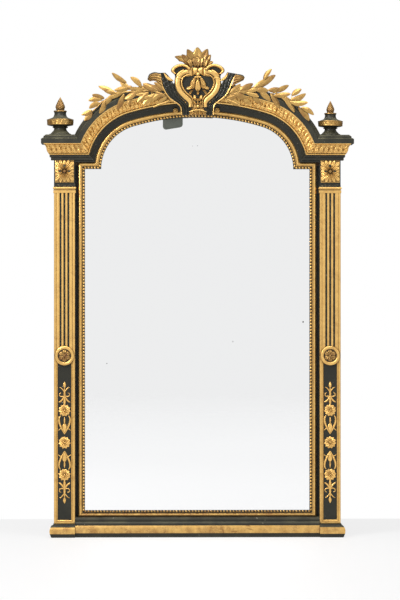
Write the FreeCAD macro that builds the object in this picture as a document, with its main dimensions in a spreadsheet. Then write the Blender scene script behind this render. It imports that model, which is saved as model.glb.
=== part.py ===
import FreeCAD, Part
import math
import os
import types

import Sketcher
from FreeCAD import Vector

# An arched pier mirror in ebonised wood and gilding, built as a pine carcass dressed with
# mouldings, two pilasters, corner urns and a carved crest.
# X runs to the viewer's right, Y to the back and Z up. The origin is on the underside of the
# base, half way along its width and its depth. Lengths are in millimetres.

LENGTHS = {
    # The opening: a rectangle with shoulders under a three-centred arch
    "sight_half_width": 428.5,
    "sight_floor": 100,
    "sight_shoulder": 1401.4,
    "arch_half_span": 366.7,
    "arch_rise": 198.6,
    "crown_radius": 850,
    # Widths of the mouldings, one after another outwards from the opening
    "bead_width": 10.5,
    "sight_moulding_width": 14.5,
    "cove_width": 27,
    "leaf_band_width": 42,
    "cap_width": 34,
    # Carcass
    "base_depth": 100,
    "carcass_thick": 32,
    "rebate_offset": 13.5,
    "board_lap": 10,
    "board_thick": 10,
    "board_gap": 1,
    "tenon_length": 55,
    "tenon_width": 50,
    "tenon_thick": 11,
    "tenon_gap": 0.2,
    # Glass and what holds it
    "glass_thick": 5,
    "glass_gap": 2,
    "block_length": 34,
    "block_width": 12,
    "block_deep": 14,
    "card_width": 76,
    "card_height": 44,
    "card_thick": 0.6,
    "card_corner": 12,
    "card_slit": 1,
    # Sight moulding and bead
    "sight_moulding_thick": 18,
    "bead_thick": 10,
    # Arch mouldings: how far each face stands in front of the carcass
    "cove_back_step": 12,
    "cove_front": 46,
    "leaf_band_foot": 50,
    "leaf_band_front": 74,
    "cap_front": 83,
    "cap_step": 9,
    "cap_fascia": 17,
    "cap_riser": 5,
    # Pilasters
    "pilaster_centre": 505.5,
    "pilaster_width": 80,
    "core_thick": 32,
    "architrave_step": 8,
    "architrave_fillet": 5,
    "fillet_height": 8,
    "panel_thick": 6,
    "border_width": 14.5,
    "roundel_height": 690,
    "roundel_radius": 38.8,
    "roundel_thick": 8,
    "roundel_rim": 12,
    "roundel_bevel": 3,
    "recess_top": 665,
    "flute_radius": 3.5,
    "flute_pitch": 15,
    "edge_groove_radius": 1.2,
    "edge_groove_place": 31,
    "necking_foot": 1309,
    "necking_height": 32,
    "necking_front": 10,
    "necking_return": 4,
    "patera_foot": 1349,
    "patera_width": 71,
    "patera_height": 85,
    "patera_plate": 6,
    "patera_relief": 5,
    "patera_gap": 1.5,
    "patera_leaf": 22,
    "patera_corner_leaf": 28,
    "patera_button": 9,
    "ornament_centre": 359.5,
    "ornament_half_height": 230,
    "ornament_half_width": 22,
    "ornament_thick": 4,
    # Base
    "foot_outer": 562,
    "foot_height": 50.5,
    "foot_plinth": 8,
    "foot_torus": 31,
    "foot_shoulder": 10,
    "rail_front": 54,
    "rail_plinth": 13,
    "rail_torus": 32,
    "rail_step": 9,
    "rail_ledge": 13,
    # Cornice
    "band_outer": 562,
    "band_flare": 22,
    "slab_outer": 593,
    # Urns
    "urn_place_left": 522,
    "urn_place_right": 507,
    "urn_depth": 5,
    "urn_height_left": 93,
    "urn_height_right": 85,
    "urn_radius_left": 52,
    "urn_radius_right": 48.5,
    "urn_socle_left": 3,
    "urn_socle_right": 7,
    "flame_height_left": 52,
    "flame_height_right": 47,
    "flame_radius_left": 19,
    "flame_radius_right": 16,
    "flame_peg": 6,
    "flame_socket": 8,
    "flame_gap": 0.2,
    # Crest
    "crest_plate": 5,
    "crest_frame": 18,
    "crest_drop": 6,
    "crest_lip": 2,
    "plume_thick": 22,
    "branch_thick": 6,
    "leaf_half_width": 8,
    "leaf_edge": 2,
    "stem_width": 7,
    "twig_width": 4.5,
    "ribbon_thick": 6,
    # One step of the places read from a front view of the crest
    "crest_step": 3.8,
    # Back fittings
    "nail_wide": 3,
    "nail_thin": 2,
    "nail_length": 28,
    "nail_margin": 60,
    "screw_radius": 1.75,
    "screw_length": 16,
    "screw_head_radius": 4,
    "screw_head": 1.6,
    "screw_gap": 0.5,
    "hanger_height": 1300,
    "strap_width": 22,
    "strap_length": 30,
    "strap_thick": 2,
    "strap_screw_first": 12,
    "strap_screw_pitch": 11,
    "ring_wire": 5,
    "ring_half_width": 20,
    "ring_drop": 18,
    "pin_gap": 0.15,
    # How far a cut runs past what it cuts
    "overrun": 5,
}

# Places on the crest: steps to the right, steps down, from one corner of a front view.
# The middle of the mirror and the underside of its base lie at these places.
CREST_MIDDLE_PIXELS = 197.5
CREST_FLOOR_PIXELS = 537.3

CARTOUCHE_LEFT_PIXELS = [(176, 69.5), (172.5, 74), (176.5, 78.5), (175.5, 86), (180, 97), (189.5, 108.4)]
CARTOUCHE_RIGHT_PIXELS = [(207, 108.4), (215, 97), (219.6, 86), (218.5, 78.5), (222.5, 74), (219, 69.5)]
CARTOUCHE_CENTRE_PIXELS = (197.5, 86)
SHIELD_PIXELS = [(184, 77), (183, 86), (188, 96), (197, 99), (206, 96), (211, 86), (210, 77)]
BELL_PIXELS = [
    (195, 79), (191.5, 83), (189, 88), (192.5, 90), (195.5, 94),
    (199.5, 94), (203, 90), (206.5, 88), (204, 83), (200.5, 79),
]
HUSK_PIXELS = [(195, 91), (193.6, 99), (197.6, 110), (201.7, 99), (200.5, 91)]
PLUME_LEAVES_PIXELS = [
    ((191, 69.5), (175, 57.5), 9),
    ((193, 69.5), (186, 51), 10),
    ((198, 69.5), (198.5, 48), 12),
    ((203, 69.5), (209, 52), 10),
    ((205, 69.5), (213, 60), 9),
]
PLUME_FOOT_PIXELS = [(186, 69.5), (189, 61), (207, 61), (210, 69.5)]
RIBBON_LEFT_PIXELS = [
    (148, 76), (158, 73.5), (171, 76.5), (169.5, 84), (171.5, 96), (178, 105), (183, 112.5),
    (178.5, 115), (171, 106), (165.5, 97), (163.5, 86), (153, 84.5),
]
RIBBON_RIGHT_PIXELS = [
    (244.5, 75), (238, 84), (231, 85), (228.5, 95), (221.5, 105), (214, 115.5),
    (209.5, 112), (216, 104), (221.5, 95), (224, 84), (226.5, 76), (234.5, 72.5),
]
STEM_LEFT_PIXELS = [
    (176, 103), (162, 99), (152, 96.5), (141, 93), (124, 92), (113, 95), (104, 100), (91.5, 111.5),
]
STEM_RIGHT_PIXELS = [
    (217, 102), (230, 97), (242, 95), (252, 92), (262, 90), (275, 93.5), (291, 101), (300, 109),
]
LEAVES_LEFT_PIXELS = [
    ((126, 83), (112.5, 74)), ((113, 92.5), (99, 87.4)), ((141, 87.4), (131, 78)),
    ((131, 87.4), (115, 91)), ((124, 93), (108, 99.5)), ((124, 95.7), (117.6, 110)),
    ((104, 99), (92.8, 95.7)), ((101.7, 100.8), (89, 101.5)), ((99.8, 104), (89.6, 109)),
    ((105, 102), (99.8, 114)), ((91.5, 111), (82, 115.5)), ((91.5, 111.7), (85, 121)),
    ((158, 96), (150, 86)), ((153, 97), (143, 101)), ((157, 99), (146, 107)),
    ((149, 93), (139.5, 83.5)), ((136, 93), (127, 99.5)), ((116, 94), (104.5, 91.5)),
]
LEAVES_RIGHT_PIXELS = [
    ((263.5, 80.4), (271, 70)), ((261, 87.4), (274.7, 76)), ((275.4, 92.3), (288, 86)),
    ((274, 96), (290, 94.4)), ((291.6, 96), (300.7, 90)), ((291, 100), (305, 94.4)),
    ((290, 102), (307, 103)), ((301.4, 108.4), (313, 115.4)), ((298.6, 109), (308.4, 121)),
    ((285, 101.4), (293.7, 112.6)), ((271, 97), (281, 110)), ((262, 88), (273, 92)),
    ((232, 94.4), (241, 103)), ((231, 92.3), (242.5, 84.6)), ((247, 93), (255, 103)),
    ((244, 94), (255, 86)), ((254, 91), (263, 101)),
]
# A leaf that starts further than this from its stem has a twig
TWIG_PIXELS = 1

# Shares of the size that each list follows
BOARD_SHARES = [0, 0.235, 0.47, 0.705]
BLOCK_SHARES = [0.12, 0.37, 0.62, 0.87]
FLOOR_BLOCK_SHARES = [-0.6, 0, 0.6]
MITRE_SHARE = 0.5
RING_CORNER_SHARE = 0.45
CARD_PLACE_SHARE = 0.255
CARD_CORNER_SHARE = 0.2
BAND_BOW_SHARE = 0.14
ROUND_SHARE = 0.4
TORUS_SHARE = 0.12
CAVETTO_SHARE = 0.15
ASTRAGAL_SHARE = 0.2
ASTRAGAL_END_SHARE = 0.12
SOCLE_SHARE = 0.8
CYMA_BREAK_SHARE = 0.5
PETAL_SHARES = [0.2, 0.9]
PETAL_BOW_SHARE = 0.32
LEAF_BOW_SHARE = 0.22
LEAF_ROOT_SHARE = 0.12
LEAF_OUTLINE_SHARES = [(0.25, 0.72), (0.55, 1), (0.82, 0.55)]
PLUME_LEAF_SHARE = 0.45
SHIELD_SHARE = 0.9
# Urn outline: share of the bowl's radius, share of the height
URN_SHARES = [
    (0.69, 0), (0.44, 0.2), (0.56, 0.3), (0.5, 0.35), (0.97, 0.4),
    (1, 0.62), (0.47, 0.74), (0.42, 0.9), (0.47, 1),
]
# Flame outline: share of its radius, share of its height
FLAME_SHARES = [(0.72, 0), (1, 0.3), (0.78, 0.66), (0, 1)]
# Panel ornament, upper right quarter: share of its half width, share of its half height, bow
ORNAMENT_SHARES = [
    (0.98, 0, 0), (0.62, 0.075, 0.18), (0.26, 0.11, 0), (0.72, 0.17, 0.25), (0.86, 0.25, 0.2),
    (0.42, 0.31, 0.3), (0.86, 0.36, 0.2), (0.97, 0.47, 0.2), (0.55, 0.56, 0.25), (1, 0.62, 0),
    (0.66, 0.69, -0.15), (0.28, 0.7, 0), (0.58, 0.76, 0.3), (0.22, 0.82, 0.3), (0.44, 0.87, 0.3),
    (0.14, 0.91, 0.3), (0.2, 0.95, 0.3), (0, 1, 0.15),
]

# Counts
PETAL_COUNT = 5
PATERA_LEAVES = 8
STRAP_SCREWS = 2
# Flats of a bowed run, and of a small or shallow one
BOW_FLATS = 3
FEW_FLATS = 2
# Sides of the turned and round pieces, which are cut in flats
URN_SIDES = 24
FLAME_SIDES = 12
ROUNDEL_SIDES = 32
SMALL_SIDES = 12
# How near the middle of a flat lies to the centre, as a share of its corners' radius
FLAT_SHARE = math.cos(math.pi / SMALL_SIDES)

LEFT = -1
RIGHT = 1
COUNTERCLOCKWISE = 1
SIDES = (("left", LEFT), ("right", RIGHT))
ACROSS = Vector(1, 0, 0)
FORWARD = Vector(0, -1, 0)
UP = Vector(0, 0, 1)


class Size:
    """A length with its value and the sheet formula that it is bound by."""

    def __init__(self, value, text):
        self.value = value
        self.text = text

    def __add__(self, other):
        other = as_size(other)
        return Size(self.value + other.value, "(%s + %s)" % (self.text, other.text))

    def __sub__(self, other):
        other = as_size(other)
        return Size(self.value - other.value, "(%s - %s)" % (self.text, other.text))

    def __mul__(self, other):
        other = as_size(other)
        return Size(self.value * other.value, "(%s * %s)" % (self.text, other.text))

    def __truediv__(self, other):
        other = as_size(other)
        return Size(self.value / other.value, "(%s / %s)" % (self.text, other.text))

    def __radd__(self, other):
        return as_size(other) + self

    def __rsub__(self, other):
        return as_size(other) - self

    def __rmul__(self, other):
        return as_size(other) * self

    def __neg__(self):
        return as_size(-1) * self


def as_size(amount):
    if isinstance(amount, Size):
        return amount
    return Size(float(amount), "(%r)" % float(amount))


def root(amount):
    return Size(math.sqrt(amount.value), "sqrt(%s)" % amount.text)


def arc_sine(amount):
    return Size(math.degrees(math.asin(amount.value)), "asin(%s)" % amount.text)


# The sheet of driving dimensions
doc = FreeCAD.newDocument("mirror")
sheet = doc.addObject("Spreadsheet::Sheet", "Sizes")
for row, (alias, value) in enumerate(LENGTHS.items(), 1):
    sheet.set("A%d" % row, alias)
    sheet.set("B%d" % row, str(value))
    sheet.setAlias("B%d" % row, alias)
doc.recompute()
s = types.SimpleNamespace(**{
    alias: Size(float(sheet.get(alias)), "Sizes." + alias) for alias in LENGTHS
})


# Sizes worked out from the sheet that many pieces share
place_set = doc.addObject("App::VarSet", "Places")


def kept(name, amount):
    """Keeps a worked-out size under a name of its own, so that formulas stay short."""
    if name not in place_set.PropertiesList:
        place_set.addProperty("App::PropertyFloat", name)
        place_set.setExpression(name, amount.text)
    return Size(amount.value, "Places." + name)


# Corners and outlines

class Corner:
    """A corner of an outline, and the arc that leads to it, if one does."""

    def __init__(self, across, up, radius=None, way=COUNTERCLOCKWISE):
        self.across = as_size(across)
        self.up = as_size(up)
        self.radius = radius
        self.way = way

    def point(self):
        return Vector(self.across.value, self.up.value, 0)


def with_flats(places, flats=BOW_FLATS):
    """Pairs from places; a third number bows the run that ends there out to the right, as flats."""
    made = []
    for index, place in enumerate(places):
        if len(place) > 2 and place[2]:
            before = places[index - 1]
            across = as_size(place[0]) - before[0]
            up = as_size(place[1]) - before[1]
            for step in range(1, flats):
                share = step / flats
                bulge = 4 * place[2] * share * (1 - share)
                made.append((before[0] + across * share + up * bulge,
                             before[1] + up * share - across * bulge))
        made.append((place[0], place[1]))
    return made


def outline(*places, flats=BOW_FLATS):
    """Corners from places, with any bowed run cut as flats."""
    made = []
    for index, place in enumerate(places):
        if isinstance(place, Corner):
            made.append(place)
        elif len(place) > 2:
            made += [Corner(*pair) for pair in with_flats([places[index - 1][:2], place], flats)[1:]]
        else:
            made.append(Corner(*place))
    return made


def mirrored(corners, side):
    """The same outline, or its mirror image when side is LEFT."""
    return [Corner(corner.across * side, corner.up, corner.radius, corner.way * side) for corner in corners]


def box_outline(low_across, low_up, high_across, high_up):
    return outline((low_across, low_up), (high_across, low_up), (high_across, high_up), (low_across, high_up))


def arc_centre(start, end, radius, way):
    chord = end - start
    reach = math.sqrt(max(radius * radius - chord.Length * chord.Length / 4, 0))
    beside = Vector(-chord.y, chord.x, 0).normalize()
    return (start + end) / 2 + beside * reach * way


# Sketches and features

def origin_plane(body, role):
    return [feature for feature in body.Origin.OriginFeatures if feature.Role == role][0]


def bind(thing, name, amount):
    thing.setExpression(name, as_size(amount).text)


def add_outline(sketch, corners, closed=True):
    """Adds lines and arcs, and ties every corner and radius to the sheet."""
    count = len(corners)
    runs = count if closed else count - 1
    first = sketch.GeometryCount
    starts = []
    ends = []
    shapes = []
    for run in range(runs):
        start = corners[run].point()
        target = corners[(run + 1) % count]
        end = target.point()
        if target.radius is None:
            shapes.append(Part.LineSegment(start, end))
            starts.append(1)
            ends.append(2)
            continue
        centre = arc_centre(start, end, target.radius.value, target.way)
        low, high = (start, end) if target.way == COUNTERCLOCKWISE else (end, start)
        circle = Part.Circle(centre, UP, target.radius.value)
        turn = [math.atan2(place.y - centre.y, place.x - centre.x) for place in (low, high)]
        if turn[1] < turn[0]:
            turn[1] += 2 * math.pi
        shapes.append(Part.ArcOfCircle(circle, turn[0], turn[1]))
        starts.append(1 if target.way == COUNTERCLOCKWISE else 2)
        ends.append(2 if target.way == COUNTERCLOCKWISE else 1)
    sketch.addGeometry(shapes, False)
    rules = []
    amounts = []
    for run in range(runs if closed else runs - 1):
        following = (run + 1) % runs
        rules.append(Sketcher.Constraint(
            "Coincident", first + run, ends[run], first + following, starts[following]))
        amounts.append(None)
    for index, corner in enumerate(corners):
        run, end = (index, starts[index]) if index < runs else (index - 1, ends[index - 1])
        for kind, amount in (("DistanceX", corner.across), ("DistanceY", corner.up)):
            rules.append(Sketcher.Constraint(kind, -1, 1, first + run, end, amount.value))
            amounts.append(amount)
    for run in range(runs):
        radius = corners[(run + 1) % count].radius
        if radius is not None:
            rules.append(Sketcher.Constraint("Radius", first + run, radius.value))
            amounts.append(radius)
    for number, amount in zip(sketch.addConstraint(rules), amounts):
        if amount is not None:
            bind(sketch, "Constraints[%d]" % number, amount)


def add_sketch(body, name, plane, outlines, place=(0, 0, 0), closed=True):
    sketch = body.newObject("Sketcher::SketchObject", name)
    sketch.AttachmentSupport = [(origin_plane(body, plane), "")]
    sketch.MapMode = "FlatFace"
    for axis, amount in zip("xyz", place):
        bind(sketch, "AttachmentOffset.Base." + axis, amount)
    for corners in outlines:
        add_outline(sketch, corners, closed)
    return sketch


def new_body(label, place=(0, 0, 0)):
    body = doc.addObject("PartDesign::Body", label)
    body.Label = label
    for axis, amount in zip("xyz", place):
        bind(body, "Placement.Base." + axis, amount)
    return body


def add_solid(body, name, plane, outlines, low, high):
    """A pad between two levels of the axis that the plane faces."""
    level = -as_size(high) if plane == "XZ_Plane" else low
    sketch = add_sketch(body, name + "_outline", plane, outlines, (0, 0, level))
    feature = body.newObject("PartDesign::Pad", name)
    feature.Profile = sketch
    bind(feature, "Length", as_size(high) - low)


def take_away(body, name, plane, outlines, low, high):
    """A pocket between two levels of the axis that the plane faces."""
    level = -as_size(low) if plane == "XZ_Plane" else high
    sketch = add_sketch(body, name + "_outline", plane, outlines, (0, 0, level))
    feature = body.newObject("PartDesign::Pocket", name)
    feature.Profile = sketch
    bind(feature, "Length", as_size(high) - low)


def many_sided(across, up, radius):
    """The outline of a small round, cut in flats."""
    corners = []
    for number in range(SMALL_SIDES):
        angle = 2 * math.pi * number / SMALL_SIDES
        corners.append(Corner(across + radius * math.cos(angle), up + radius * math.sin(angle)))
    return corners


def front_place(across, depth, up):
    return Vector(as_size(across).value, as_size(depth).value, as_size(up).value)


def turning(centre, axis, profile, sides):
    """A turned solid cut in flats, from radii and heights along its axis, closed at both ends."""
    third = axis.cross(ACROSS)
    rings = []
    for radius, along in profile:
        middle = centre + axis * as_size(along).value
        reach = as_size(radius).value
        angles = [2 * math.pi * number / sides for number in range(sides)] if reach else [0]
        rings.append([middle + (ACROSS * math.cos(angle) + third * math.sin(angle)) * reach
                      for angle in angles])
    faces = [Part.Face(Part.makePolygon(ring + ring[:1])) for ring in (rings[0], rings[-1]) if ring[1:]]
    for low, high in zip(rings, rings[1:]):
        for number in range(sides):
            following = (number + 1) % sides
            corners = [low[number % len(low)], low[following % len(low)],
                       high[following % len(high)], high[number % len(high)]]
            rim = [corner for place, corner in enumerate(corners) if corner != corners[place - 1]]
            faces.append(Part.Face(Part.makePolygon(rim + rim[:1])))
    return Part.Solid(Part.Shell(faces))


def raised(centre, corners, low, high):
    """A solid between two levels in front of a centre, with its outline in the front view."""
    rim = [centre + ACROSS * corner.across.value + UP * corner.up.value + FORWARD * as_size(low).value
           for corner in corners]
    return Part.Face(Part.makePolygon(rim + rim[:1])).extrude(FORWARD * (as_size(high) - low).value)


def new_piece(label, shape):
    piece = doc.addObject("Part::Feature", label)
    piece.Label = label
    piece.Shape = shape


def plain_board(label, corners, front, rear):
    body = new_body(label)
    add_solid(body, "board", "XZ_Plane", [corners], front, rear)
    return body


# Places that several pieces share

back = kept("back", s.base_depth / 2)
seat = kept("seat", back - s.carcass_thick)
glass_back = kept("glass_back", seat + s.glass_thick)
bead_edge = s.bead_width
sight_edge = kept("sight_edge", bead_edge + s.sight_moulding_width)
cove_edge = kept("cove_edge", sight_edge + s.cove_width)
band_edge = kept("band_edge", cove_edge + s.leaf_band_width)
cap_edge = kept("cap_edge", band_edge + s.cap_width)
board_edge = kept("board_edge", s.rebate_offset + s.board_lap)
cap_face = kept("cap_face", seat - s.cap_front)
core_front = kept("core_front", seat - s.core_thick)
panel_front = kept("panel_front", core_front - s.panel_thick)
pilaster_inner = kept("pilaster_inner", s.pilaster_centre - s.pilaster_width / 2)
pilaster_outer = kept("pilaster_outer", s.pilaster_centre + s.pilaster_width / 2)
opening_half = kept("opening_half", s.sight_half_width + s.rebate_offset)
head_foot = kept("head_foot", s.sight_shoulder + s.rebate_offset)
slab_foot = kept("slab_foot", s.sight_shoulder + band_edge)
slab_top = kept("slab_top", s.sight_shoulder + cap_edge)
haunch_radius = kept("haunch_radius", (
    (s.arch_half_span * s.arch_half_span + s.arch_rise * s.arch_rise - 2 * s.crown_radius * s.arch_rise)
    / (2 * (s.arch_half_span - s.crown_radius))
))
haunch_place = kept("haunch_place", s.arch_half_span - haunch_radius)
crown_centre = kept("crown_centre", s.sight_shoulder + s.arch_rise - s.crown_radius)
lean_across = kept("lean_across", haunch_place / (s.crown_radius - haunch_radius))
lean_up = kept("lean_up", (s.crown_radius - s.arch_rise) / (s.crown_radius - haunch_radius))
lean_angle = arc_sine(lean_across)


def springing(offset):
    """Where the arch, moved out by an offset, meets the level line of the same offset."""
    offset = as_size(offset)
    reach = root(haunch_radius * haunch_radius + 2 * haunch_radius * offset)
    name = "spring_at_" + ("%.1f" % offset.value).replace(".", "_")
    return kept(name, haunch_place + reach), s.sight_shoulder + offset


def arch_corners(offset):
    """The arch from its right springing to its left one."""
    offset = as_size(offset)
    across, up = springing(offset)
    crown = s.crown_radius + offset
    haunch = haunch_radius + offset
    join_across = crown * lean_across
    join_up = crown_centre + crown * lean_up
    return [
        Corner(across, up),
        Corner(join_across, join_up, haunch),
        Corner(-join_across, join_up, crown),
        Corner(-across, up, haunch),
    ]


def backwards(corners):
    """The same open run of corners, from its last to its first."""
    turned_round = []
    for index in range(len(corners) - 1, -1, -1):
        corner = corners[index]
        arc = corners[index + 1] if index + 1 < len(corners) else Corner(0, 0)
        turned_round.append(Corner(corner.across, corner.up, arc.radius, -arc.way))
    return turned_round


def opening_outline(offset):
    """The whole opening, moved out by an offset."""
    half = s.sight_half_width + offset
    up = s.sight_shoulder + offset
    return (
        outline((-half, s.sight_floor - offset), (half, s.sight_floor - offset), (half, up))
        + arch_corners(offset)
        + outline((-half, up))
    )


# Carcass

def nail_places():
    """Cut nails that hold the back boards, two at each end of a board."""
    found = []
    lane = s.sight_half_width + (s.rebate_offset + board_edge) / 2
    levels = board_levels()
    for low, high in zip(levels, levels[1:]):
        for side in (LEFT, RIGHT):
            found.append((lane * side, low + s.nail_margin))
            found.append((lane * side, high - s.nail_margin))
    return found


def board_levels():
    """Joints of the back boards, ending at the shoulder."""
    foot = s.sight_floor - board_edge
    reach = s.sight_shoulder - foot
    tall = reach + s.arch_rise
    return [foot + tall * share for share in BOARD_SHARES] + [s.sight_shoulder]


def strap_screw_places():
    found = []
    for side in (LEFT, RIGHT):
        for number in range(STRAP_SCREWS):
            drop = s.strap_screw_first + s.strap_screw_pitch * number
            found.append((s.pilaster_centre * side, s.hanger_height - drop))
    return found


def stile(name, side):
    body = new_body("stile_" + name)
    board = box_outline(opening_half, 0, pilaster_outer, head_foot)
    add_solid(body, "board", "XZ_Plane", [mirrored(board, side)], seat, back)
    tenon_low = s.pilaster_centre - s.tenon_width / 2
    tenon = box_outline(tenon_low, head_foot - s.overrun,
                        tenon_low + s.tenon_width, head_foot + s.tenon_length)
    middle = (seat + back - s.board_thick) / 2
    add_solid(body, "tenon", "XZ_Plane", [mirrored(tenon, side)],
              middle - s.tenon_thick / 2, middle + s.tenon_thick / 2)
    low = (s.sight_floor - board_edge - s.tenon_width) / 2
    reach = s.tenon_thick / 2 + s.tenon_gap
    window = box_outline(middle - reach, low - s.tenon_gap, middle + reach, low + s.tenon_width + s.tenon_gap)
    near = opening_half - s.overrun
    far = opening_half + s.tenon_length + s.tenon_gap
    start, end = (near, far) if side == RIGHT else (-far, -near)
    take_away(body, "mortise", "YZ_Plane", [window], start, end)
    take_away(body, "board_rebate", "XZ_Plane",
              [mirrored(box_outline(opening_half - s.overrun, s.sight_floor - board_edge,
                                    opening_half + s.board_lap, head_foot + s.overrun), side)],
              back - s.board_thick, back + s.overrun)


def bottom_rail():
    body = new_body("bottom_rail")
    rail_top = s.sight_floor - s.rebate_offset
    add_solid(body, "board", "XZ_Plane", [box_outline(-opening_half, 0, opening_half, rail_top)], seat, back)
    low = (s.sight_floor - board_edge - s.tenon_width) / 2
    middle = (seat + back - s.board_thick) / 2
    reach = opening_half + s.tenon_length
    add_solid(body, "tenons", "XZ_Plane", [box_outline(-reach, low, reach, low + s.tenon_width)],
              middle - s.tenon_thick / 2, middle + s.tenon_thick / 2)
    take_away(body, "board_rebate", "XZ_Plane",
              [box_outline(-opening_half - s.overrun, rail_top - s.board_lap,
                           opening_half + s.overrun, rail_top + s.overrun)],
              back - s.board_thick, back + s.overrun)


def arched_head():
    body = new_body("arched_head")
    outer = arch_corners(band_edge)
    inner = backwards(arch_corners(s.rebate_offset))
    board = (
        outline((pilaster_outer, head_foot), (pilaster_outer, slab_foot))
        + outer
        + outline((-pilaster_outer, slab_foot), (-pilaster_outer, head_foot))
        + inner
    )
    add_solid(body, "board", "XZ_Plane", [board], seat, back)
    rebate = arch_corners(board_edge)
    foot = head_foot - s.overrun
    half = opening_half + s.board_lap
    top = s.sight_shoulder + board_edge
    take_away(body, "board_rebate", "XZ_Plane",
              [outline((-half, foot), (half, foot), (half, top)) + rebate + outline((-half, top))],
              back - s.board_thick, back + s.overrun)
    middle = (seat + back - s.board_thick) / 2
    reach = s.tenon_width / 2 + s.tenon_gap
    depth = s.tenon_thick / 2 + s.tenon_gap
    mortises = [
        box_outline(s.pilaster_centre * side - reach, head_foot - s.overrun,
                    s.pilaster_centre * side + reach, head_foot + s.tenon_length + s.tenon_gap)
        for side in (LEFT, RIGHT)
    ]
    take_away(body, "mortises", "XZ_Plane", mortises, middle - depth, middle + depth)


def back_boards():
    levels = board_levels()
    half = s.sight_half_width + board_edge - s.board_gap
    for number, (low, high) in enumerate(zip(levels, levels[1:]), 1):
        body = new_body("backboard_%d" % number)
        if number < len(BOARD_SHARES):
            board = box_outline(-half, low, half, high - s.board_gap)
        else:
            arch = arch_corners(board_edge - s.board_gap)
            shoulder = s.sight_shoulder + board_edge - s.board_gap
            board = outline((-half, low), (half, low), (half, shoulder)) + arch + outline((-half, shoulder))
        add_solid(body, "board", "XZ_Plane", [board], back - s.board_thick, back)


def nail_solid(across, up):
    """A cut nail: a flat shank and a flat head that stands on the board."""
    wide = s.nail_wide
    thin = s.nail_thin.value
    length = s.nail_length.value
    shank = Part.makeBox(wide.value, length, thin,
                         front_place(across - wide / 2, back - s.nail_length, up - s.nail_thin / 2))
    head = Part.makeBox(2 * wide.value, thin, 2 * wide.value, front_place(across - wide, back, up - wide))
    return shank.fuse(head).removeSplitter()


def screw_solid(across, up):
    """A strap screw: a plain shank and a flat round head."""
    seat_of_head = front_place(across, back + s.strap_thick, up)
    return turning(seat_of_head, FORWARD, [
        (s.screw_radius, s.screw_length), (s.screw_radius, 0), (s.screw_head_radius, 0),
        (s.screw_head_radius, -s.screw_head)], SMALL_SIDES)


def back_fixings():
    nails = [nail_solid(*place) for place in nail_places()]
    screws = [screw_solid(*place) for place in strap_screw_places()]
    new_piece("back_fixings", Part.makeCompound(nails + screws))


# Glass

def mirror_glass():
    plain_board("mirror_glass", opening_outline(s.rebate_offset - s.glass_gap), seat, glass_back)


def glazing_blocks():
    """Small pine blocks glued round the edge behind the glass."""
    blocks = []
    length = s.block_length.value
    width = s.block_width.value
    tall = s.sight_shoulder - s.sight_floor
    for side in (LEFT, RIGHT):
        inner = opening_half * side - (s.block_width if side == RIGHT else 0)
        for share in BLOCK_SHARES:
            place = front_place(inner, glass_back, s.sight_floor + tall * share)
            blocks.append(Part.makeBox(width, s.block_deep.value, length, place))
    for share in FLOOR_BLOCK_SHARES:
        middle = s.sight_half_width * share - s.block_length / 2
        place = front_place(middle, glass_back, s.sight_floor - s.rebate_offset)
        blocks.append(Part.makeBox(length, s.block_deep.value, width, place))
    new_piece("glazing_blocks", Part.makeCompound(blocks))


def packing_card():
    """A slip of card pushed up between the glass and the bead, level with the arch above it."""
    across = -s.arch_half_span * CARD_PLACE_SHARE
    reach = root(s.crown_radius * s.crown_radius - across * across)
    top = crown_centre + reach + s.bead_width / 2
    tilt = -s.card_width * across / reach / 2
    foot = top - s.card_height
    half = s.card_width / 2
    low = s.card_corner
    card = outline(
        (across - half, foot + low - tilt),
        (across - half + low, foot - tilt, CARD_CORNER_SHARE),
        (across + half - low, foot + tilt),
        (across + half, foot + low + tilt, CARD_CORNER_SHARE),
        (across + half, top + tilt),
        (across - half, top - tilt),
    )
    spare = (s.card_slit - s.card_thick) / 2
    plain_board("packing_card", card, seat - s.card_thick - spare, seat - spare)


# Mouldings round the opening

def mitre_far(inner, outer):
    """The mitre line of an arch moulding, run on past both its ends."""
    low = springing(inner)
    high = springing(outer)
    run = [(high[axis] - low[axis]) * MITRE_SHARE for axis in (0, 1)]
    start = (low[0] - run[0], low[1] - run[1])
    end = (high[0] + run[0], high[1] + run[1])
    return start, end


def bent_moulding(label, section, inner, outer):
    """A moulding round the arch; section gives distances out from the opening, and depths."""
    inner = as_size(inner)
    body = new_body(label)
    crown_section = [Corner(depth, s.crown_radius + offset) for offset, depth in section]
    haunch_section = [Corner(haunch_radius + offset, depth) for offset, depth in section]
    crown_sketch = add_sketch(body, "crown_section", "YZ_Plane", [crown_section], (0, crown_centre, 0))
    crown = body.newObject("PartDesign::Revolution", "crown")
    crown.Profile = crown_sketch
    crown.ReferenceAxis = (crown_sketch, ["H_Axis"])
    crown.Midplane = True
    bind(crown, "Angle", 2 * lean_angle)
    for name, side in SIDES:
        sketch = add_sketch(body, "haunch_section_" + name, "XY_Plane", [mirrored(haunch_section, side)],
                            (haunch_place * side, 0, s.sight_shoulder))
        haunch = body.newObject("PartDesign::Revolution", "haunch_" + name)
        haunch.Profile = sketch
        haunch.ReferenceAxis = (sketch, ["V_Axis"])
        haunch.Reversed = side == RIGHT
        haunch.setExpression("Angle", "90 deg - %s" % lean_angle.text)
    start, end = mitre_far(inner, outer)
    low = s.sight_shoulder - s.overrun
    far = s.arch_half_span + outer + s.overrun
    waste = outline(start, (start[0], low), (far, low), (far, end[1]), end)
    take_away(body, "mitres", "XZ_Plane", [mirrored(waste, LEFT), waste],
              cap_face - s.overrun, back + s.overrun)


def floor_mitre(inner, outer, upper):
    """The waste at the lower right mitre: above the mitre line, or below it."""
    near = (s.sight_half_width + inner - s.overrun, s.sight_floor - inner + s.overrun)
    far = (s.sight_half_width + outer + s.overrun, s.sight_floor - outer - s.overrun)
    if upper:
        return outline(near, far, (far[0], near[1]))
    return outline(near, (near[0], far[1]), far)


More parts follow.
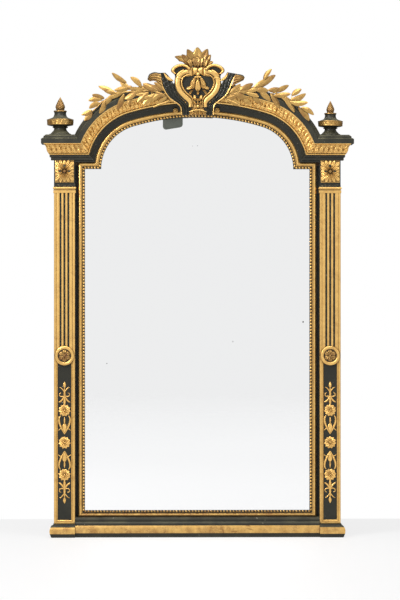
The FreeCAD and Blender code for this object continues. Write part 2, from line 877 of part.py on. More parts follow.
def sight_strip(label, section, inner, outer):
    """One moulding round the opening: floor piece, two side pieces with their shoulders, and arch."""
    inner = as_size(inner)
    floor_section = outline(*[(depth, s.sight_floor - offset) for offset, depth in section])
    front = seat - s.sight_moulding_thick - s.overrun
    reach = s.sight_half_width + outer
    body = new_body(label + "_bottom")
    add_solid(body, "strip", "YZ_Plane", [floor_section], -reach, reach)
    waste = floor_mitre(inner, outer, True)
    take_away(body, "mitres", "XZ_Plane", [mirrored(waste, LEFT), waste], front, seat + s.overrun)
    for name, side in SIDES:
        body = new_body(label + "_" + name)
        start = s.sight_floor - outer
        route = outline((s.sight_half_width, start), (s.sight_half_width, s.sight_shoulder),
                        (s.arch_half_span, s.sight_shoulder))
        path = add_sketch(body, "route", "XZ_Plane", [mirrored(route, side)], closed=False)
        across = outline(*[(s.sight_half_width + offset, depth) for offset, depth in section])
        profile = add_sketch(body, "section", "XY_Plane", [mirrored(across, side)], (0, 0, start))
        doc.recompute()
        strip = body.newObject("PartDesign::AdditivePipe", "strip")
        strip.Profile = profile
        strip.Spine = (path, ["Edge1", "Edge2"])
        strip.Transition = "Right corner"
        waste = floor_mitre(inner, outer, False)
        take_away(body, "floor_mitre", "XZ_Plane", [mirrored(waste, side)], front, seat + s.overrun)
        low, high = mitre_far(inner, outer)
        left = s.arch_half_span - s.overrun
        waste = outline(low, high, (left, high[1]), (left, low[1]))
        take_away(body, "shoulder_mitre", "XZ_Plane", [mirrored(waste, side)], front, seat + s.overrun)
    bent_moulding(label + "_arch", section, inner, outer)


def sight_mouldings():
    front = seat - s.sight_moulding_thick + s.sight_moulding_width * ROUND_SHARE
    section = with_flats([(bead_edge, seat), (bead_edge, front), (sight_edge, front, ROUND_SHARE),
                          (sight_edge, seat)])
    sight_strip("sight_moulding", section, bead_edge, sight_edge)


def bead_strings():
    rear = seat - s.card_slit
    front = rear - s.bead_thick + s.bead_width * ROUND_SHARE
    section = with_flats([(0, rear), (0, front), (bead_edge, front, ROUND_SHARE), (bead_edge, rear)])
    sight_strip("bead_string", section, 0, bead_edge)


def arch_cove():
    shallow = seat - s.cove_back_step
    front = seat - s.cove_front
    section = with_flats([(sight_edge, seat), (sight_edge, shallow), (cove_edge, front, -BAND_BOW_SHARE),
                          (cove_edge, seat)])
    bent_moulding("inner_cove_arch", section, sight_edge, cove_edge)


def band_section():
    """Leaf band: a cyma that leans out as it rises."""
    foot = seat - s.leaf_band_foot
    front = seat - s.leaf_band_front
    turn_out = cove_edge + s.leaf_band_width * CYMA_BREAK_SHARE
    middle = (foot + front) / 2
    return with_flats([(cove_edge, seat), (cove_edge, foot), (turn_out, middle, BAND_BOW_SHARE),
                       (band_edge, front, -BAND_BOW_SHARE), (band_edge, seat)], FEW_FLATS)


def cap_section():
    """Cap: a plain fascia, then two steps back."""
    fascia = band_edge + s.cap_fascia
    riser = fascia + s.cap_riser
    return [(band_edge, back), (band_edge, cap_face), (fascia, cap_face), (riser, cap_face + s.cap_step),
            (riser + s.cap_riser, cap_face + s.cap_step), (cap_edge, cap_face + 2 * s.cap_step),
            (cap_edge, back)]


def leaf_bands():
    section = band_section()
    bent_moulding("leaf_band_arch", section, cove_edge, band_edge)
    foot = s.sight_shoulder + cove_edge
    top = s.sight_shoulder + band_edge
    middle = (foot + top) / 2
    for name, side in SIDES:
        body = new_body("leaf_band_" + name)
        start = s.arch_half_span
        front_view = outline(
            (start, foot), (s.band_outer, foot), (s.band_outer + s.band_flare / 2, middle, -BAND_BOW_SHARE),
            (s.band_outer + s.band_flare, top, BAND_BOW_SHARE), (start, top), flats=FEW_FLATS)
        block_front = seat - s.leaf_band_front
        add_solid(body, "block", "XZ_Plane", [mirrored(front_view, side)], block_front, back)
        rise = [(depth, s.sight_shoulder + offset) for offset, depth in section[1:-1]]
        shape_front(body, rise, foot, top, block_front)
        notch_carcass(body, side, foot, top)
        cut_inner_mitre(body, side, cove_edge, band_edge)


def shape_front(body, rise, foot, top, block_front):
    """Cuts the front face to a section drawn from its foot to its top, in depths and heights."""
    clear = block_front - s.overrun
    first = rise[0]
    waste = outline((clear, foot - s.overrun), (first[0], foot - s.overrun), *rise,
                    (rise[-1][0], top + s.overrun), (clear, top + s.overrun))
    span = s.slab_outer + s.overrun
    take_away(body, "front_section", "YZ_Plane", [waste], -span, span)


def notch_carcass(body, side, foot, top):
    """Leaves room for the stile and the head behind a block that returns along the side."""
    notch = box_outline(0, foot - s.overrun, pilaster_outer, top + s.overrun)
    take_away(body, "carcass_notch", "XZ_Plane", [mirrored(notch, side)], seat, back + s.overrun)


def cut_inner_mitre(body, side, inner, outer):
    """Mitres the inner end of a level moulding against the one round the arch."""
    low, high = mitre_far(inner, outer)
    left = -s.overrun
    waste = outline(low, high, (left, high[1]), (left, low[1]))
    take_away(body, "arch_mitre", "XZ_Plane", [mirrored(waste, side)], cap_face - s.overrun, back + s.overrun)


def cornice():
    section = cap_section()
    bent_moulding("cap_moulding_arch", section, band_edge, cap_edge)
    fascia = slab_foot + s.cap_fascia
    riser = fascia + s.cap_riser
    outer = s.slab_outer
    for name, side in SIDES:
        body = new_body("cornice_slab_" + name)
        start = s.arch_half_span
        front_view = outline(
            (start, slab_foot), (outer, slab_foot), (outer, fascia), (outer - s.cap_step, riser),
            (outer - s.cap_step, riser + s.cap_riser), (outer - 2 * s.cap_step, slab_top),
            (start, slab_top))
        add_solid(body, "block", "XZ_Plane", [mirrored(front_view, side)], cap_face, back)
        rise = [(depth, s.sight_shoulder + offset) for offset, depth in section[2:-1]]
        shape_front(body, rise, fascia, slab_top, cap_face)
        cut_inner_mitre(body, side, band_edge, cap_edge)


# Pilasters

def pilaster_core(name, side):
    """The black post, its capital block, and the architrave that runs in to the arch."""
    body = new_body("pilaster_core_" + name)
    foot = s.sight_shoulder + sight_edge
    top = s.sight_shoulder + cove_edge
    low = springing(sight_edge)
    high = springing(cove_edge)
    post = outline((pilaster_inner, s.foot_height), (pilaster_outer, s.foot_height), (pilaster_outer, top),
                   high, low, (pilaster_inner, foot))
    add_solid(body, "post", "XZ_Plane", [mirrored(post, side)], core_front, seat)
    band_front = core_front - s.architrave_step
    out = s.band_outer - s.architrave_fillet
    band_foot = s.patera_foot + s.patera_height
    fascia = outline(on_line(low, high, band_foot), (out, band_foot), (out, top), high)
    add_solid(body, "architrave", "XZ_Plane", [mirrored(fascia, side)], band_front, seat)
    line = top - s.fillet_height
    fillet = outline(on_line(low, high, line), (s.band_outer, line), (s.band_outer, top), high)
    add_solid(body, "fillet", "XZ_Plane", [mirrored(fillet, side)], band_front - s.architrave_fillet, seat)


def on_line(low, high, up):
    """The place at a height on the line between two places."""
    share = (up - low[1]) / (high[1] - low[1])
    return low[0] + (high[0] - low[0]) * share, up


def fluted_panel(name, side):
    body = new_body("fluted_panel_" + name, (s.pilaster_centre * side, 0, 0))
    half = s.pilaster_width / 2
    add_solid(body, "panel", "XZ_Plane", [box_outline(-half, s.roundel_height, half, s.necking_foot)],
              panel_front, core_front)
    grooves = []
    for place in (-s.flute_pitch, as_size(0), s.flute_pitch):
        grooves.append((place, s.flute_radius))
    for place in (-s.edge_groove_place, s.edge_groove_place):
        grooves.append((place, s.edge_groove_radius))
    loops = []
    for place, radius in grooves:
        loops.append(outline(
            (place - radius, panel_front - s.overrun), (place + radius, panel_front - s.overrun),
            (place + radius, panel_front), (place - radius, panel_front, ROUND_SHARE)))
    take_away(body, "flutes", "XY_Plane", loops, s.roundel_height + s.overrun, s.necking_foot + s.overrun)


def panel_border(name, side):
    body = new_body("panel_border_" + name, (s.pilaster_centre * side, 0, 0))
    half = s.pilaster_width / 2
    inside = half - s.border_width
    frame = box_outline(-half, s.foot_height, half, s.roundel_height)
    recess = box_outline(-inside, s.foot_height + s.border_width, inside, s.recess_top)
    add_solid(body, "frame", "XZ_Plane", [frame, recess], panel_front, core_front)


def roundel(name, side):
    """A turned ring with a five-petalled flower in its dish."""
    centre = front_place(s.pilaster_centre * side, panel_front, s.roundel_height)
    outer = s.roundel_radius
    dish = outer - s.roundel_rim
    face = s.roundel_thick
    floor = face / 2
    profile = [(outer, 0), (outer, face - s.roundel_bevel), (outer - s.roundel_bevel, face), (dish, face),
               (dish, floor)]
    disc = turning(centre, FORWARD, profile, ROUNDEL_SIDES)
    petals = []
    for number in range(PETAL_COUNT):
        angle = math.radians(90 + 360 * number / PETAL_COUNT)
        reach = [dish * share for share in PETAL_SHARES]
        start = (reach[0] * math.cos(angle), reach[0] * math.sin(angle))
        end = (reach[1] * math.cos(angle), reach[1] * math.sin(angle))
        petals.append(raised(centre, lens(start, end, PETAL_BOW_SHARE), floor, face))
    new_piece("roundel_" + name, disc.multiFuse(petals).removeSplitter())


def panel_ornament(name, side):
    """Flowers, palmettes and scrolls in low relief, alike above and below the middle."""
    body = new_body("panel_ornament_" + name, (s.pilaster_centre * side, 0, s.ornament_centre))
    wide = s.ornament_half_width
    tall = s.ornament_half_height
    quarter = with_flats([(wide * across, tall * up, bow) for across, up, bow in ORNAMENT_SHARES],
                         FEW_FLATS)
    right = [(across, -up) for across, up in quarter[:0:-1]] + quarter
    left = [(-across, up) for across, up in right[-2:0:-1]]
    add_solid(body, "relief", "XZ_Plane", [outline(*right, *left)], core_front - s.ornament_thick, core_front)


def capital_patera(name, side):
    """A square of eight leaves round a button."""
    body = new_body("capital_patera_" + name,
                    (s.pilaster_centre * side, core_front, s.patera_foot + s.patera_height / 2))
    wide = s.patera_width / 2
    tall = s.patera_height / 2
    add_solid(body, "plate", "XZ_Plane", [box_outline(-wide, -tall, wide, tall)], -s.patera_plate, 0)
    leaves = []
    for number in range(PATERA_LEAVES):
        angle = math.radians(360 * number / PATERA_LEAVES)
        start = s.patera_button + s.patera_gap
        end = start + (s.patera_corner_leaf if number % 2 else s.patera_leaf)
        leaves.append(lens((start * math.cos(angle), start * math.sin(angle)),
                           (end * math.cos(angle), end * math.sin(angle)), LEAF_BOW_SHARE))
    add_solid(body, "leaves", "XZ_Plane", leaves, -s.patera_plate - s.patera_relief, -s.patera_plate)
    button = many_sided(as_size(0), as_size(0), s.patera_button)
    add_solid(body, "button", "XZ_Plane", [button], -s.patera_plate - 2 * s.patera_relief, -s.patera_plate)


def lens(start, end, bow):
    """A leaf or petal outline between two places, with both its edges bowed."""
    return outline((start[0], start[1], bow), (end[0], end[1], bow))


def necking(name, side):
    """Two astragals round the top of the shaft."""
    body = new_body("necking_" + name)
    foot = s.necking_foot
    top = foot + s.necking_height
    middle = (foot + top) / 2
    out = pilaster_outer + s.necking_return
    inner = pilaster_inner - s.necking_return
    trim = s.necking_return / 2
    front_view = outline(
        (out - trim, foot), (out - trim, middle, ASTRAGAL_END_SHARE), (out - trim, top, ASTRAGAL_END_SHARE),
        (inner + trim, top), (inner + trim, middle, ASTRAGAL_END_SHARE),
        (inner + trim, foot, ASTRAGAL_END_SHARE))
    block_front = core_front - s.necking_front - s.overrun
    add_solid(body, "block", "XZ_Plane", [mirrored(front_view, side)], block_front, back)
    line = core_front - s.necking_front + trim
    rise = with_flats([(line, foot), (line, middle, -ASTRAGAL_SHARE), (line, top, -ASTRAGAL_SHARE)])
    shape_front(body, rise, foot, top, block_front)
    core = box_outline(pilaster_inner, foot - s.overrun, pilaster_outer, top + s.overrun)
    take_away(body, "core_notch", "XZ_Plane", [mirrored(core, side)], core_front, back + s.overrun)
    side_notch = box_outline(opening_half - s.overrun, foot - s.overrun, pilaster_inner + s.overrun,
                             top + s.overrun)
    take_away(body, "channel_notch", "XZ_Plane", [mirrored(side_notch, side)], seat, back + s.overrun)


# Base

def foot_block(name, side):
    body = new_body("foot_" + name)
    bulge = s.foot_torus * TORUS_SHARE
    torus_top = s.foot_plinth + s.foot_torus
    outer = s.foot_outer - bulge
    front_view = outline(
        (pilaster_inner, 0), (outer, 0), (outer, s.foot_plinth), (outer, torus_top, TORUS_SHARE),
        (outer - s.foot_shoulder, s.foot_height, -CAVETTO_SHARE), (pilaster_inner, s.foot_height))
    add_solid(body, "block", "XZ_Plane", [mirrored(front_view, side)], -back, back)
    front = bulge - back
    rise = with_flats([(front, 0), (front, s.foot_plinth), (front, torus_top, -TORUS_SHARE),
                       (front + s.foot_shoulder, s.foot_height, CAVETTO_SHARE)])
    shape_front(body, rise, as_size(0), s.foot_height, -back)
    notch_carcass(body, side, as_size(0), s.foot_height)


def base_rail():
    body = new_body("base_rail")
    front = seat - s.rail_front
    bulge = s.rail_torus * TORUS_SHARE
    torus_top = s.rail_plinth + s.rail_torus
    top = s.sight_floor - sight_edge
    ledge = torus_top + s.rail_ledge
    step_one = front + s.rail_step
    step_two = step_one + s.rail_step
    section = outline(
        (seat, 0), (seat, top), (step_two, top), (step_two, ledge), (step_one, ledge), (step_one, torus_top),
        (front + bulge, torus_top), (front + bulge, s.rail_plinth, TORUS_SHARE), (front + bulge, 0))
    add_solid(body, "rail", "YZ_Plane", [section], -pilaster_inner, pilaster_inner)


# Urns

def urn(name, side, place, height, radius, socle):
    """A turned urn on a low round socle, with a socket in its lip for the flame."""
    profile = [(radius * SOCLE_SHARE, 0), (radius * SOCLE_SHARE, socle)]
    for across, up in URN_SHARES:
        profile.append((radius * across, socle + (height - socle) * up))
    socket = s.flame_socket + s.flame_gap
    floor = height - s.flame_peg - s.flame_gap
    profile += [(socket, height), (socket, floor)]
    centre = front_place(place * side, -s.urn_depth, slab_top)
    new_piece("urn_" + name, turning(centre, UP, profile, URN_SIDES))


def urn_flame(name, side, place, height, radius, foot):
    profile = [(s.flame_socket, -s.flame_peg), (s.flame_socket, 0)]
    profile += [(radius * across, height * up) for across, up in FLAME_SHARES]
    centre = front_place(place * side, -s.urn_depth, slab_top + foot)
    new_piece("urn_flame_" + name, turning(centre, UP, profile, FLAME_SIDES))


# Crest

def crest_place(pixel):
    across = (pixel[0] - CREST_MIDDLE_PIXELS) * s.crest_step
    up = (CREST_FLOOR_PIXELS - pixel[1]) * s.crest_step
    return across, up


def crest_corners(pixels):
    return [crest_place(pixel) for pixel in pixels]


def cartouche():
    shield_front = cap_face - s.crest_plate
    frame_front = shield_front - s.crest_frame
    corners = CARTOUCHE_LEFT_PIXELS + CARTOUCHE_RIGHT_PIXELS
    inner = []
    for corner in corners:
        inner.append([middle + (place - middle) * SHIELD_SHARE
                      for place, middle in zip(corner, CARTOUCHE_CENTRE_PIXELS)])
    plain_board("cartouche_shield", outline(*crest_corners(inner)), shield_front, cap_face)
    frame = plain_board("cartouche_frame", outline(*crest_corners(corners)), frame_front, shield_front)
    take_away(frame, "dish", "XZ_Plane", [outline(*crest_corners(SHIELD_PIXELS))],
              frame_front - s.overrun, shield_front + s.overrun)
    body = new_body("bellflower")
    add_solid(body, "petals", "XZ_Plane", [outline(*crest_corners(BELL_PIXELS))],
              frame_front - s.crest_lip, shield_front)
    add_solid(body, "husk", "XZ_Plane", [outline(*crest_corners(HUSK_PIXELS))],
              frame_front - s.crest_drop, frame_front)


def flat_leaf(start, end, half_width, edge, ridge, rear):
    """A leaf with a flat back, bowed edges and a rib along its middle, between two places."""
    base = front_place(start[0], rear, start[1])
    tip = front_place(end[0], rear, end[1])
    along = tip - base
    beside = FORWARD.cross(along).normalize() * half_width.value
    one_side = [base + along * reach + beside * spread for reach, spread in LEAF_OUTLINE_SHARES]
    other_side = [base + along * reach - beside * spread for reach, spread in LEAF_OUTLINE_SHARES[::-1]]
    rim = Part.makePolygon([base] + one_side + [tip] + other_side + [base])
    deep = FORWARD * ridge.value
    blank = Part.Face(rim).extrude(deep)
    thin = FORWARD * edge.value
    roof = Part.makePolygon([base + beside, base + beside + thin, base + deep, base - beside + thin,
                             base - beside, base + beside])
    return blank.common(Part.Face(roof).extrude(along))


def flat_strip(start, end, width, thick, rear):
    """A flat bar between two places on a plane that faces the front, run on past both."""
    first = front_place(start[0], rear, start[1])
    last = front_place(end[0], rear, end[1])
    along = last - first
    beside = FORWARD.cross(along).normalize() * (width.value / 2)
    run_on = Vector(along).normalize() * (width.value / 2)
    first = first - run_on
    last = last + run_on
    corners = [first + beside, last + beside, last - beside, first - beside, first + beside]
    return Part.Face(Part.makePolygon(corners)).extrude(FORWARD * thick.value)


def nearest(place, places):
    return min(places, key=lambda other: math.hypot(other[0] - place[0], other[1] - place[1]))


def branch(name, stem, leaves):
    """A leafy branch: a stem along the cap moulding, twigs, and ribbed leaves."""
    solids = []
    thick = s.branch_thick
    for first, last in zip(stem, stem[1:]):
        solids.append(flat_strip(crest_place(first), crest_place(last), s.stem_width, thick, cap_face))
    for base, tip in leaves:
        fork = nearest(base, stem)
        if math.hypot(fork[0] - base[0], fork[1] - base[1]) > TWIG_PIXELS:
            solids.append(flat_strip(crest_place(fork), crest_place(base), s.twig_width, thick, cap_face))
        start = [base[axis] - (tip[axis] - base[axis]) * LEAF_ROOT_SHARE for axis in (0, 1)]
        solids.append(flat_leaf(crest_place(start), crest_place(tip), s.leaf_half_width, s.leaf_edge,
                                thick, cap_face))
    new_piece("branch_" + name, solids[0].multiFuse(solids[1:]).removeSplitter().Solids[0])


def plume():
    """Acanthus leaves standing on the frame."""
    foot = [front_place(across, cap_face, up) for across, up in crest_corners(PLUME_FOOT_PIXELS)]
    solids = [Part.Face(Part.makePolygon(foot + foot[:1])).extrude(FORWARD * s.plume_thick.value)]
    for base, tip, wide in PLUME_LEAVES_PIXELS:
        half_width = s.crest_step * (wide * PLUME_LEAF_SHARE)
        solids.append(flat_leaf(crest_place(base), crest_place(tip), half_width, s.plume_thick / 2,
                                s.plume_thick, cap_face))
    block = solids[0].multiFuse(solids[1:])
    low = crest_place(PLUME_FOOT_PIXELS[0])[1]
    span = s.slab_outer
    corner = front_place(-span / 2, cap_face - s.base_depth / 2, low - span)
    trim = Part.makeBox(span.value, s.base_depth.value, span.value, corner)
    new_piece("plume", block.cut(trim).removeSplitter().Solids[0])


def ribbon(name, pixels):
    front = cap_face - s.branch_thick
    plain_board("ribbon_" + name, outline(*crest_corners(pixels)), front - s.ribbon_thick, front)


# Hanging hardware

pivot_depth = back + s.strap_thick + s.pin_gap + s.ring_wire / 2


def hanger_strap(name, side):
    """A plate with its top rolled round the ring's bar."""
    body = new_body("hanger_strap_" + name, (s.pilaster_centre * side, 0, s.hanger_height))
    bore = s.ring_wire / 2 + s.pin_gap
    roll = bore + s.strap_thick
    half = s.strap_width / 2
    tube = many_sided(pivot_depth, as_size(0), roll)
    hole = many_sided(pivot_depth, as_size(0), bore / FLAT_SHARE)
    add_solid(body, "roll", "YZ_Plane", [tube], -half, half)
    plate = box_outline(back, -s.strap_length, back + s.strap_thick, 0)
    add_solid(body, "plate", "YZ_Plane", [plate], -half, half)
    take_away(body, "bore", "YZ_Plane", [hole], -half - s.overrun, half + s.overrun)
    holes = [many_sided(as_size(0), -(s.strap_screw_first + s.strap_screw_pitch * number),
                        s.screw_radius + s.screw_gap) for number in range(STRAP_SCREWS)]
    take_away(body, "screw_holes", "XZ_Plane", holes, back - s.overrun, back + s.strap_thick + s.overrun)


def hanger_ring(name, side):
    """A wire ring: a straight bar, two sides and a bottom drawn in at its corners."""
    body = new_body("hanger_ring_" + name, (s.pilaster_centre * side, pivot_depth, s.hanger_height))
    half = s.ring_half_width
    low = -s.ring_drop - half
    route = outline((0, 0), (half, 0), (half, -s.ring_drop), (half * RING_CORNER_SHARE, low),
                    (-half * RING_CORNER_SHARE, low), (-half, -s.ring_drop), (-half, 0))
    path = add_sketch(body, "route", "XZ_Plane", [route])
    wire = many_sided(as_size(0), as_size(0), s.ring_wire / 2)
    section = add_sketch(body, "wire_section", "YZ_Plane", [wire])
    doc.recompute()
    ring = body.newObject("PartDesign::AdditivePipe", "ring")
    ring.Profile = section
    ring.Spine = (path, ["Edge%d" % number for number in range(1, len(route) + 1)])
    ring.Transition = "Right corner"


# Assembly

for name, side in SIDES:
    stile(name, side)
bottom_rail()
arched_head()
mirror_glass()
glazing_blocks()
packing_card()
back_boards()
back_fixings()
sight_mouldings()
bead_strings()
arch_cove()
leaf_bands()
cornice()
base_rail()
for name, side in SIDES:
    foot_block(name, side)
    pilaster_core(name, side)
    fluted_panel(name, side)
    panel_border(name, side)
    roundel(name, side)
    panel_ornament(name, side)
    capital_patera(name, side)
    necking(name, side)
    hanger_strap(name, side)
    hanger_ring(name, side)
urn("left", LEFT, s.urn_place_left, s.urn_height_left, s.urn_radius_left, s.urn_socle_left)
urn("right", RIGHT, s.urn_place_right, s.urn_height_right, s.urn_radius_right, s.urn_socle_right)
urn_flame("left", LEFT, s.urn_place_left, s.flame_height_left, s.flame_radius_left, s.urn_height_left)
urn_flame("right", RIGHT, s.urn_place_right, s.flame_height_right, s.flame_radius_right, s.urn_height_right)
cartouche()
plume()
ribbon("left", RIBBON_LEFT_PIXELS)
ribbon("right", RIBBON_RIGHT_PIXELS)
branch("left", STEM_LEFT_PIXELS, LEAVES_LEFT_PIXELS)
branch("right", STEM_RIGHT_PIXELS, LEAVES_RIGHT_PIXELS)
doc.recompute()

# Checks before anything is written

pieces = []
for item in doc.Objects:
    alone = item.TypeId == "Part::Feature" and item.getParentGroup() is None
    if alone or item.isDerivedFrom("PartDesign::Body"):
        pieces.append(item)
faults = []
for item in doc.Objects:
    if "Invalid" in item.State or "Error" in item.State:
        faults.append("%s %s" % (item.Name, item.State))
    if item.TypeId == "PartDesign::Pocket" and not item.Shape.isNull():
        if item.Shape.Volume >= item.BaseFeature.Shape.Volume:
            faults.append("%s cuts nothing" % item.Name)
for piece in pieces:
    if piece.Shape.isNull() or not piece.Shape.isValid() or not piece.Shape.Solids or piece.Shape.Volume <= 0:
        faults.append("%s has no valid solid" % piece.Label)
if faults:
    raise RuntimeError("; ".join(faults))

os.makedirs("parts", exist_ok=True)
for piece in pieces:
    piece.Shape.exportStep("parts/%s.step" % piece.Label)
print("pieces", len(pieces))
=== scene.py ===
import math
import random

import bmesh
import bpy
from bpy.props import FloatProperty, FloatVectorProperty, PointerProperty
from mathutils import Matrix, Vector, noise


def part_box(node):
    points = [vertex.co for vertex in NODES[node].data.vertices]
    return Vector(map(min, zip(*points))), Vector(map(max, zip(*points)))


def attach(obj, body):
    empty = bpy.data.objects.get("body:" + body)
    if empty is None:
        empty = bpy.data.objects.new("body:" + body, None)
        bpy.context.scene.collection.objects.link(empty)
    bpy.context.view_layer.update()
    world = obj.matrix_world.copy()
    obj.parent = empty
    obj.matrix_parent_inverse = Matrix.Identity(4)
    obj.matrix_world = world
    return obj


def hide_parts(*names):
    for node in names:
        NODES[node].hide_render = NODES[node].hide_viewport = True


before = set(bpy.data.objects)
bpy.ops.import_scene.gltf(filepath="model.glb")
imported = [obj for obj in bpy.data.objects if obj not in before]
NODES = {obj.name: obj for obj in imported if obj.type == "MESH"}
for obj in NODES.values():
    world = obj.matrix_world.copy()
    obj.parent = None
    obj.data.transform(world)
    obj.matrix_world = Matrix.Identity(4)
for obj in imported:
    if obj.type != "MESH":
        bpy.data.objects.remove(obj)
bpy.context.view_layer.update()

bl_info = {
    "name": "Arched pier mirror",
    "version": (1, 0, 0),
    "blender": (4, 5, 0),
    "location": "3D View > Sidebar > Mirror",
    "description": "Dresses an arched mirror in ebonised wood, carved gilding and silvered glass",
    "category": "Object",
}

# X runs to the viewer's right, Y to the back and Z up, in metres.
RIGHT = Vector((1, 0, 0))
FRONT = Vector((0, -1, 0))
UP = Vector((0, 0, 1))
SIDES = (("left", -1), ("right", 1))
FINE = 0.0002
JOINING = FINE / 20

# Names that end in PIXELS hold places on the crest, as steps to the right and down from a corner of the front
# view. Places on the panels are steps from the middle of the panel.
STEP = 0.0038
MIDDLE_PIXELS = 197.5
FLOOR_PIXELS = 537.3
VIEW_PIXELS = (400, 600)


def length_setting(name, description, default):
    return FloatProperty(name=name, description=description, default=default, subtype="DISTANCE")


def angle_setting(name, description, degrees):
    return FloatProperty(name=name, description=description, default=math.radians(degrees), subtype="ANGLE")


def colour_setting(name, description, default):
    return FloatVectorProperty(name=name, description=description, default=default, subtype="COLOR", min=0, max=1)


class MirrorSizes(bpy.types.PropertyGroup):
    """Sizes of the opening, the beads and the carving."""
    half_width: length_setting("Sight half width", "Half the width of the glass that shows", 0.4285)
    floor: length_setting("Sight floor", "Height of the foot of the glass", 0.1)
    shoulder: length_setting("Shoulder", "Height of the springing of the arch", 1.4014)
    half_span: length_setting("Arch half span", "Half the width of the arch", 0.3667)
    rise: length_setting("Arch rise", "Height of the arch above its springing", 0.1986)
    crown: length_setting("Crown radius", "Radius of the crown of the arch", 0.85)
    bead_pitch: length_setting("Bead pitch", "From one bead to the next", 0.012)
    bead_slant: angle_setting("Bead slant", "How far each bead leans over", 28)
    leaf_pitch: length_setting("Leaf pitch", "From one leaf of the carved band to the next", 0.0185)
    relief: length_setting("Band relief", "Depth of the carving of the leaf band", 0.0062)
    ring_wire: length_setting("Ring wire", "Thickness of the wire of the hanging rings", 0.005)
    view_distance: length_setting("View distance", "From the camera to the mirror", 10.0)
    view_turn: angle_setting("View turn", "How far the camera stands to the right of the middle", -1)


class MirrorColours(bpy.types.PropertyGroup):
    """Colours of the finishes."""
    gold: colour_setting("Gold", "Bright gold leaf", (0.87, 0.555, 0.18))
    deep_gold: colour_setting("Deep gold", "Toned gold leaf", (0.52, 0.285, 0.08))
    bole: colour_setting("Bole", "Red clay that shows where leaf is rubbed", (0.16, 0.04, 0.016))
    scuff: colour_setting("Scuff", "Brown where the leaf is worn thin", (0.3, 0.145, 0.05))
    # This colour is both a real toner wash and painted shade in the recesses of the carving.
    toner_and_shade: colour_setting("Toner", "Dark wash in the recesses of the carving", (0.045, 0.02, 0.008))
    black: colour_setting("Black", "Ebonised polish", (0.0125, 0.0125, 0.0085))
    dust: colour_setting("Dust", "Dust on the ebonised polish", (0.125, 0.115, 0.066))
    pine: colour_setting("Pine", "Old bare pine", (0.36, 0.2, 0.09))
    card: colour_setting("Card", "Slip of card behind the bead", (0.075, 0.083, 0.07))
    brass: colour_setting("Brass", "Hanging straps and rings", (0.45, 0.3, 0.1))
    iron: colour_setting("Iron", "Nails and screws", (0.09, 0.075, 0.065))
    floor: colour_setting("Floor", "Studio floor", (0.17, 0.17, 0.172))


def sizes():
    """The sizes that the sidebar shows."""
    return bpy.context.scene.mirror_sizes


def colours():
    """The colours that the sidebar shows."""
    return bpy.context.scene.mirror_colours


# Gathering meshes

class Shape:
    """Corners and faces, and the finish of each face, gathered before they become a mesh."""

    def __init__(self):
        self.corners = []
        self.faces = []
        self.finishes = []

    def face(self, corners):
        """One face of the first finish, over corners of its own."""
        first = len(self.corners)
        self.corners += corners
        self.faces.append(tuple(range(first, len(self.corners))))
        self.finishes.append(0)

    def grid(self, rows, finish=0, closed=True, ring=False, finish_of=None):
        """Faces between rows of corners. closed joins each row's ends, ring joins the last row to the first."""
        first = len(self.corners)
        wide = len(rows[0])
        for row in rows:
            self.corners.extend(row)
        for number in range(len(rows) if ring else len(rows) - 1):
            low = first + number * wide
            high = first + (number + 1) % len(rows) * wide
            for place in range(wide if closed else wide - 1):
                following = (place + 1) % wide
                self.faces.append((low + place, low + following, high + following, high + place))
                self.finishes.append(finish_of(number, place) if finish_of else finish)
        if closed and not ring:
            last = first + (len(rows) - 1) * wide
            self.faces += [tuple(range(first + wide - 1, first - 1, -1)), tuple(range(last, last + wide))]
            self.finishes += [finish, finish]

    def piece(self, name, node, slot, *finishes, body="mirror", sharp=40):
        """Makes the mesh, rides it on its body and lets it stand for its CAD node."""
        mesh = bpy.data.meshes.new(name)
        mesh.from_pydata(self.corners, [], self.faces)
        for one in finishes:
            mesh.materials.append(finish(one))
        mesh.polygons.foreach_set("material_index", self.finishes)
        mesh.polygons.foreach_set("use_smooth", [True] * len(self.faces))
        mesh.validate()
        mesh.update()
        tidy_normals(mesh)
        mesh.set_sharp_from_angle(angle=math.radians(sharp))
        made = bpy.data.objects.new(name, mesh)
        bpy.context.scene.collection.objects.link(made)
        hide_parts(node)
        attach(made, body)


def tidy_normals(mesh):
    """Turns every face outwards and joins corners that meet."""
    work = bmesh.new()
    work.from_mesh(mesh)
    bmesh.ops.remove_doubles(work, verts=work.verts, dist=JOINING)
    bmesh.ops.recalc_face_normals(work, faces=work.faces)
    work.to_mesh(mesh)
    work.free()


def back_of(node):
    """Where a CAD node's back lies, and how deep the node is."""
    low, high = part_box(node)
    return high.y, high.y - low.y


def back_middle(node):
    """The middle of a CAD node's back."""
    low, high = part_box(node)
    return Vector(((low.x + high.x) / 2, high.y, (low.z + high.z) / 2))


def standing(node):
    """The middle of a CAD node's foot, its half width and its height."""
    low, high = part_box(node)
    return Vector(((low.x + high.x) / 2, (low.y + high.y) / 2, low.z)), (high.x - low.x) / 2, high.z - low.z


def spot(across, up, depth):
    """A place on the front view, at a depth."""
    return Vector(((across - MIDDLE_PIXELS) * STEP, depth, (FLOOR_PIXELS - up) * STEP))


def spots(pixels, depth):
    """Places on the front view, at one depth."""
    return [spot(across, up, depth) for across, up in pixels]


def around(count):
    """Even angles round a circle."""
    return [math.tau * step / count for step in range(count)]


def smooth_run(points, steps=6):
    """A curve through every point, as more points."""
    padded = [points[0] * 2 - points[1]] + list(points) + [points[-1] * 2 - points[-2]]
    run = []
    for first, second, third, fourth in zip(padded, padded[1:], padded[2:], padded[3:]):
        for step in range(steps):
            share = step / steps
            run.append((second * 2 + (third - first) * share
                        + (first * 2 - second * 5 + third * 4 - fourth) * share ** 2
                        + (second * 3 - first - third * 3 + fourth) * share ** 3) / 2)
    run.append(points[-1])
    return run


def pixel_run(pixels, depth, steps=6):
    """A curve through places on the front view."""
    return smooth_run(spots(pixels, depth), steps)


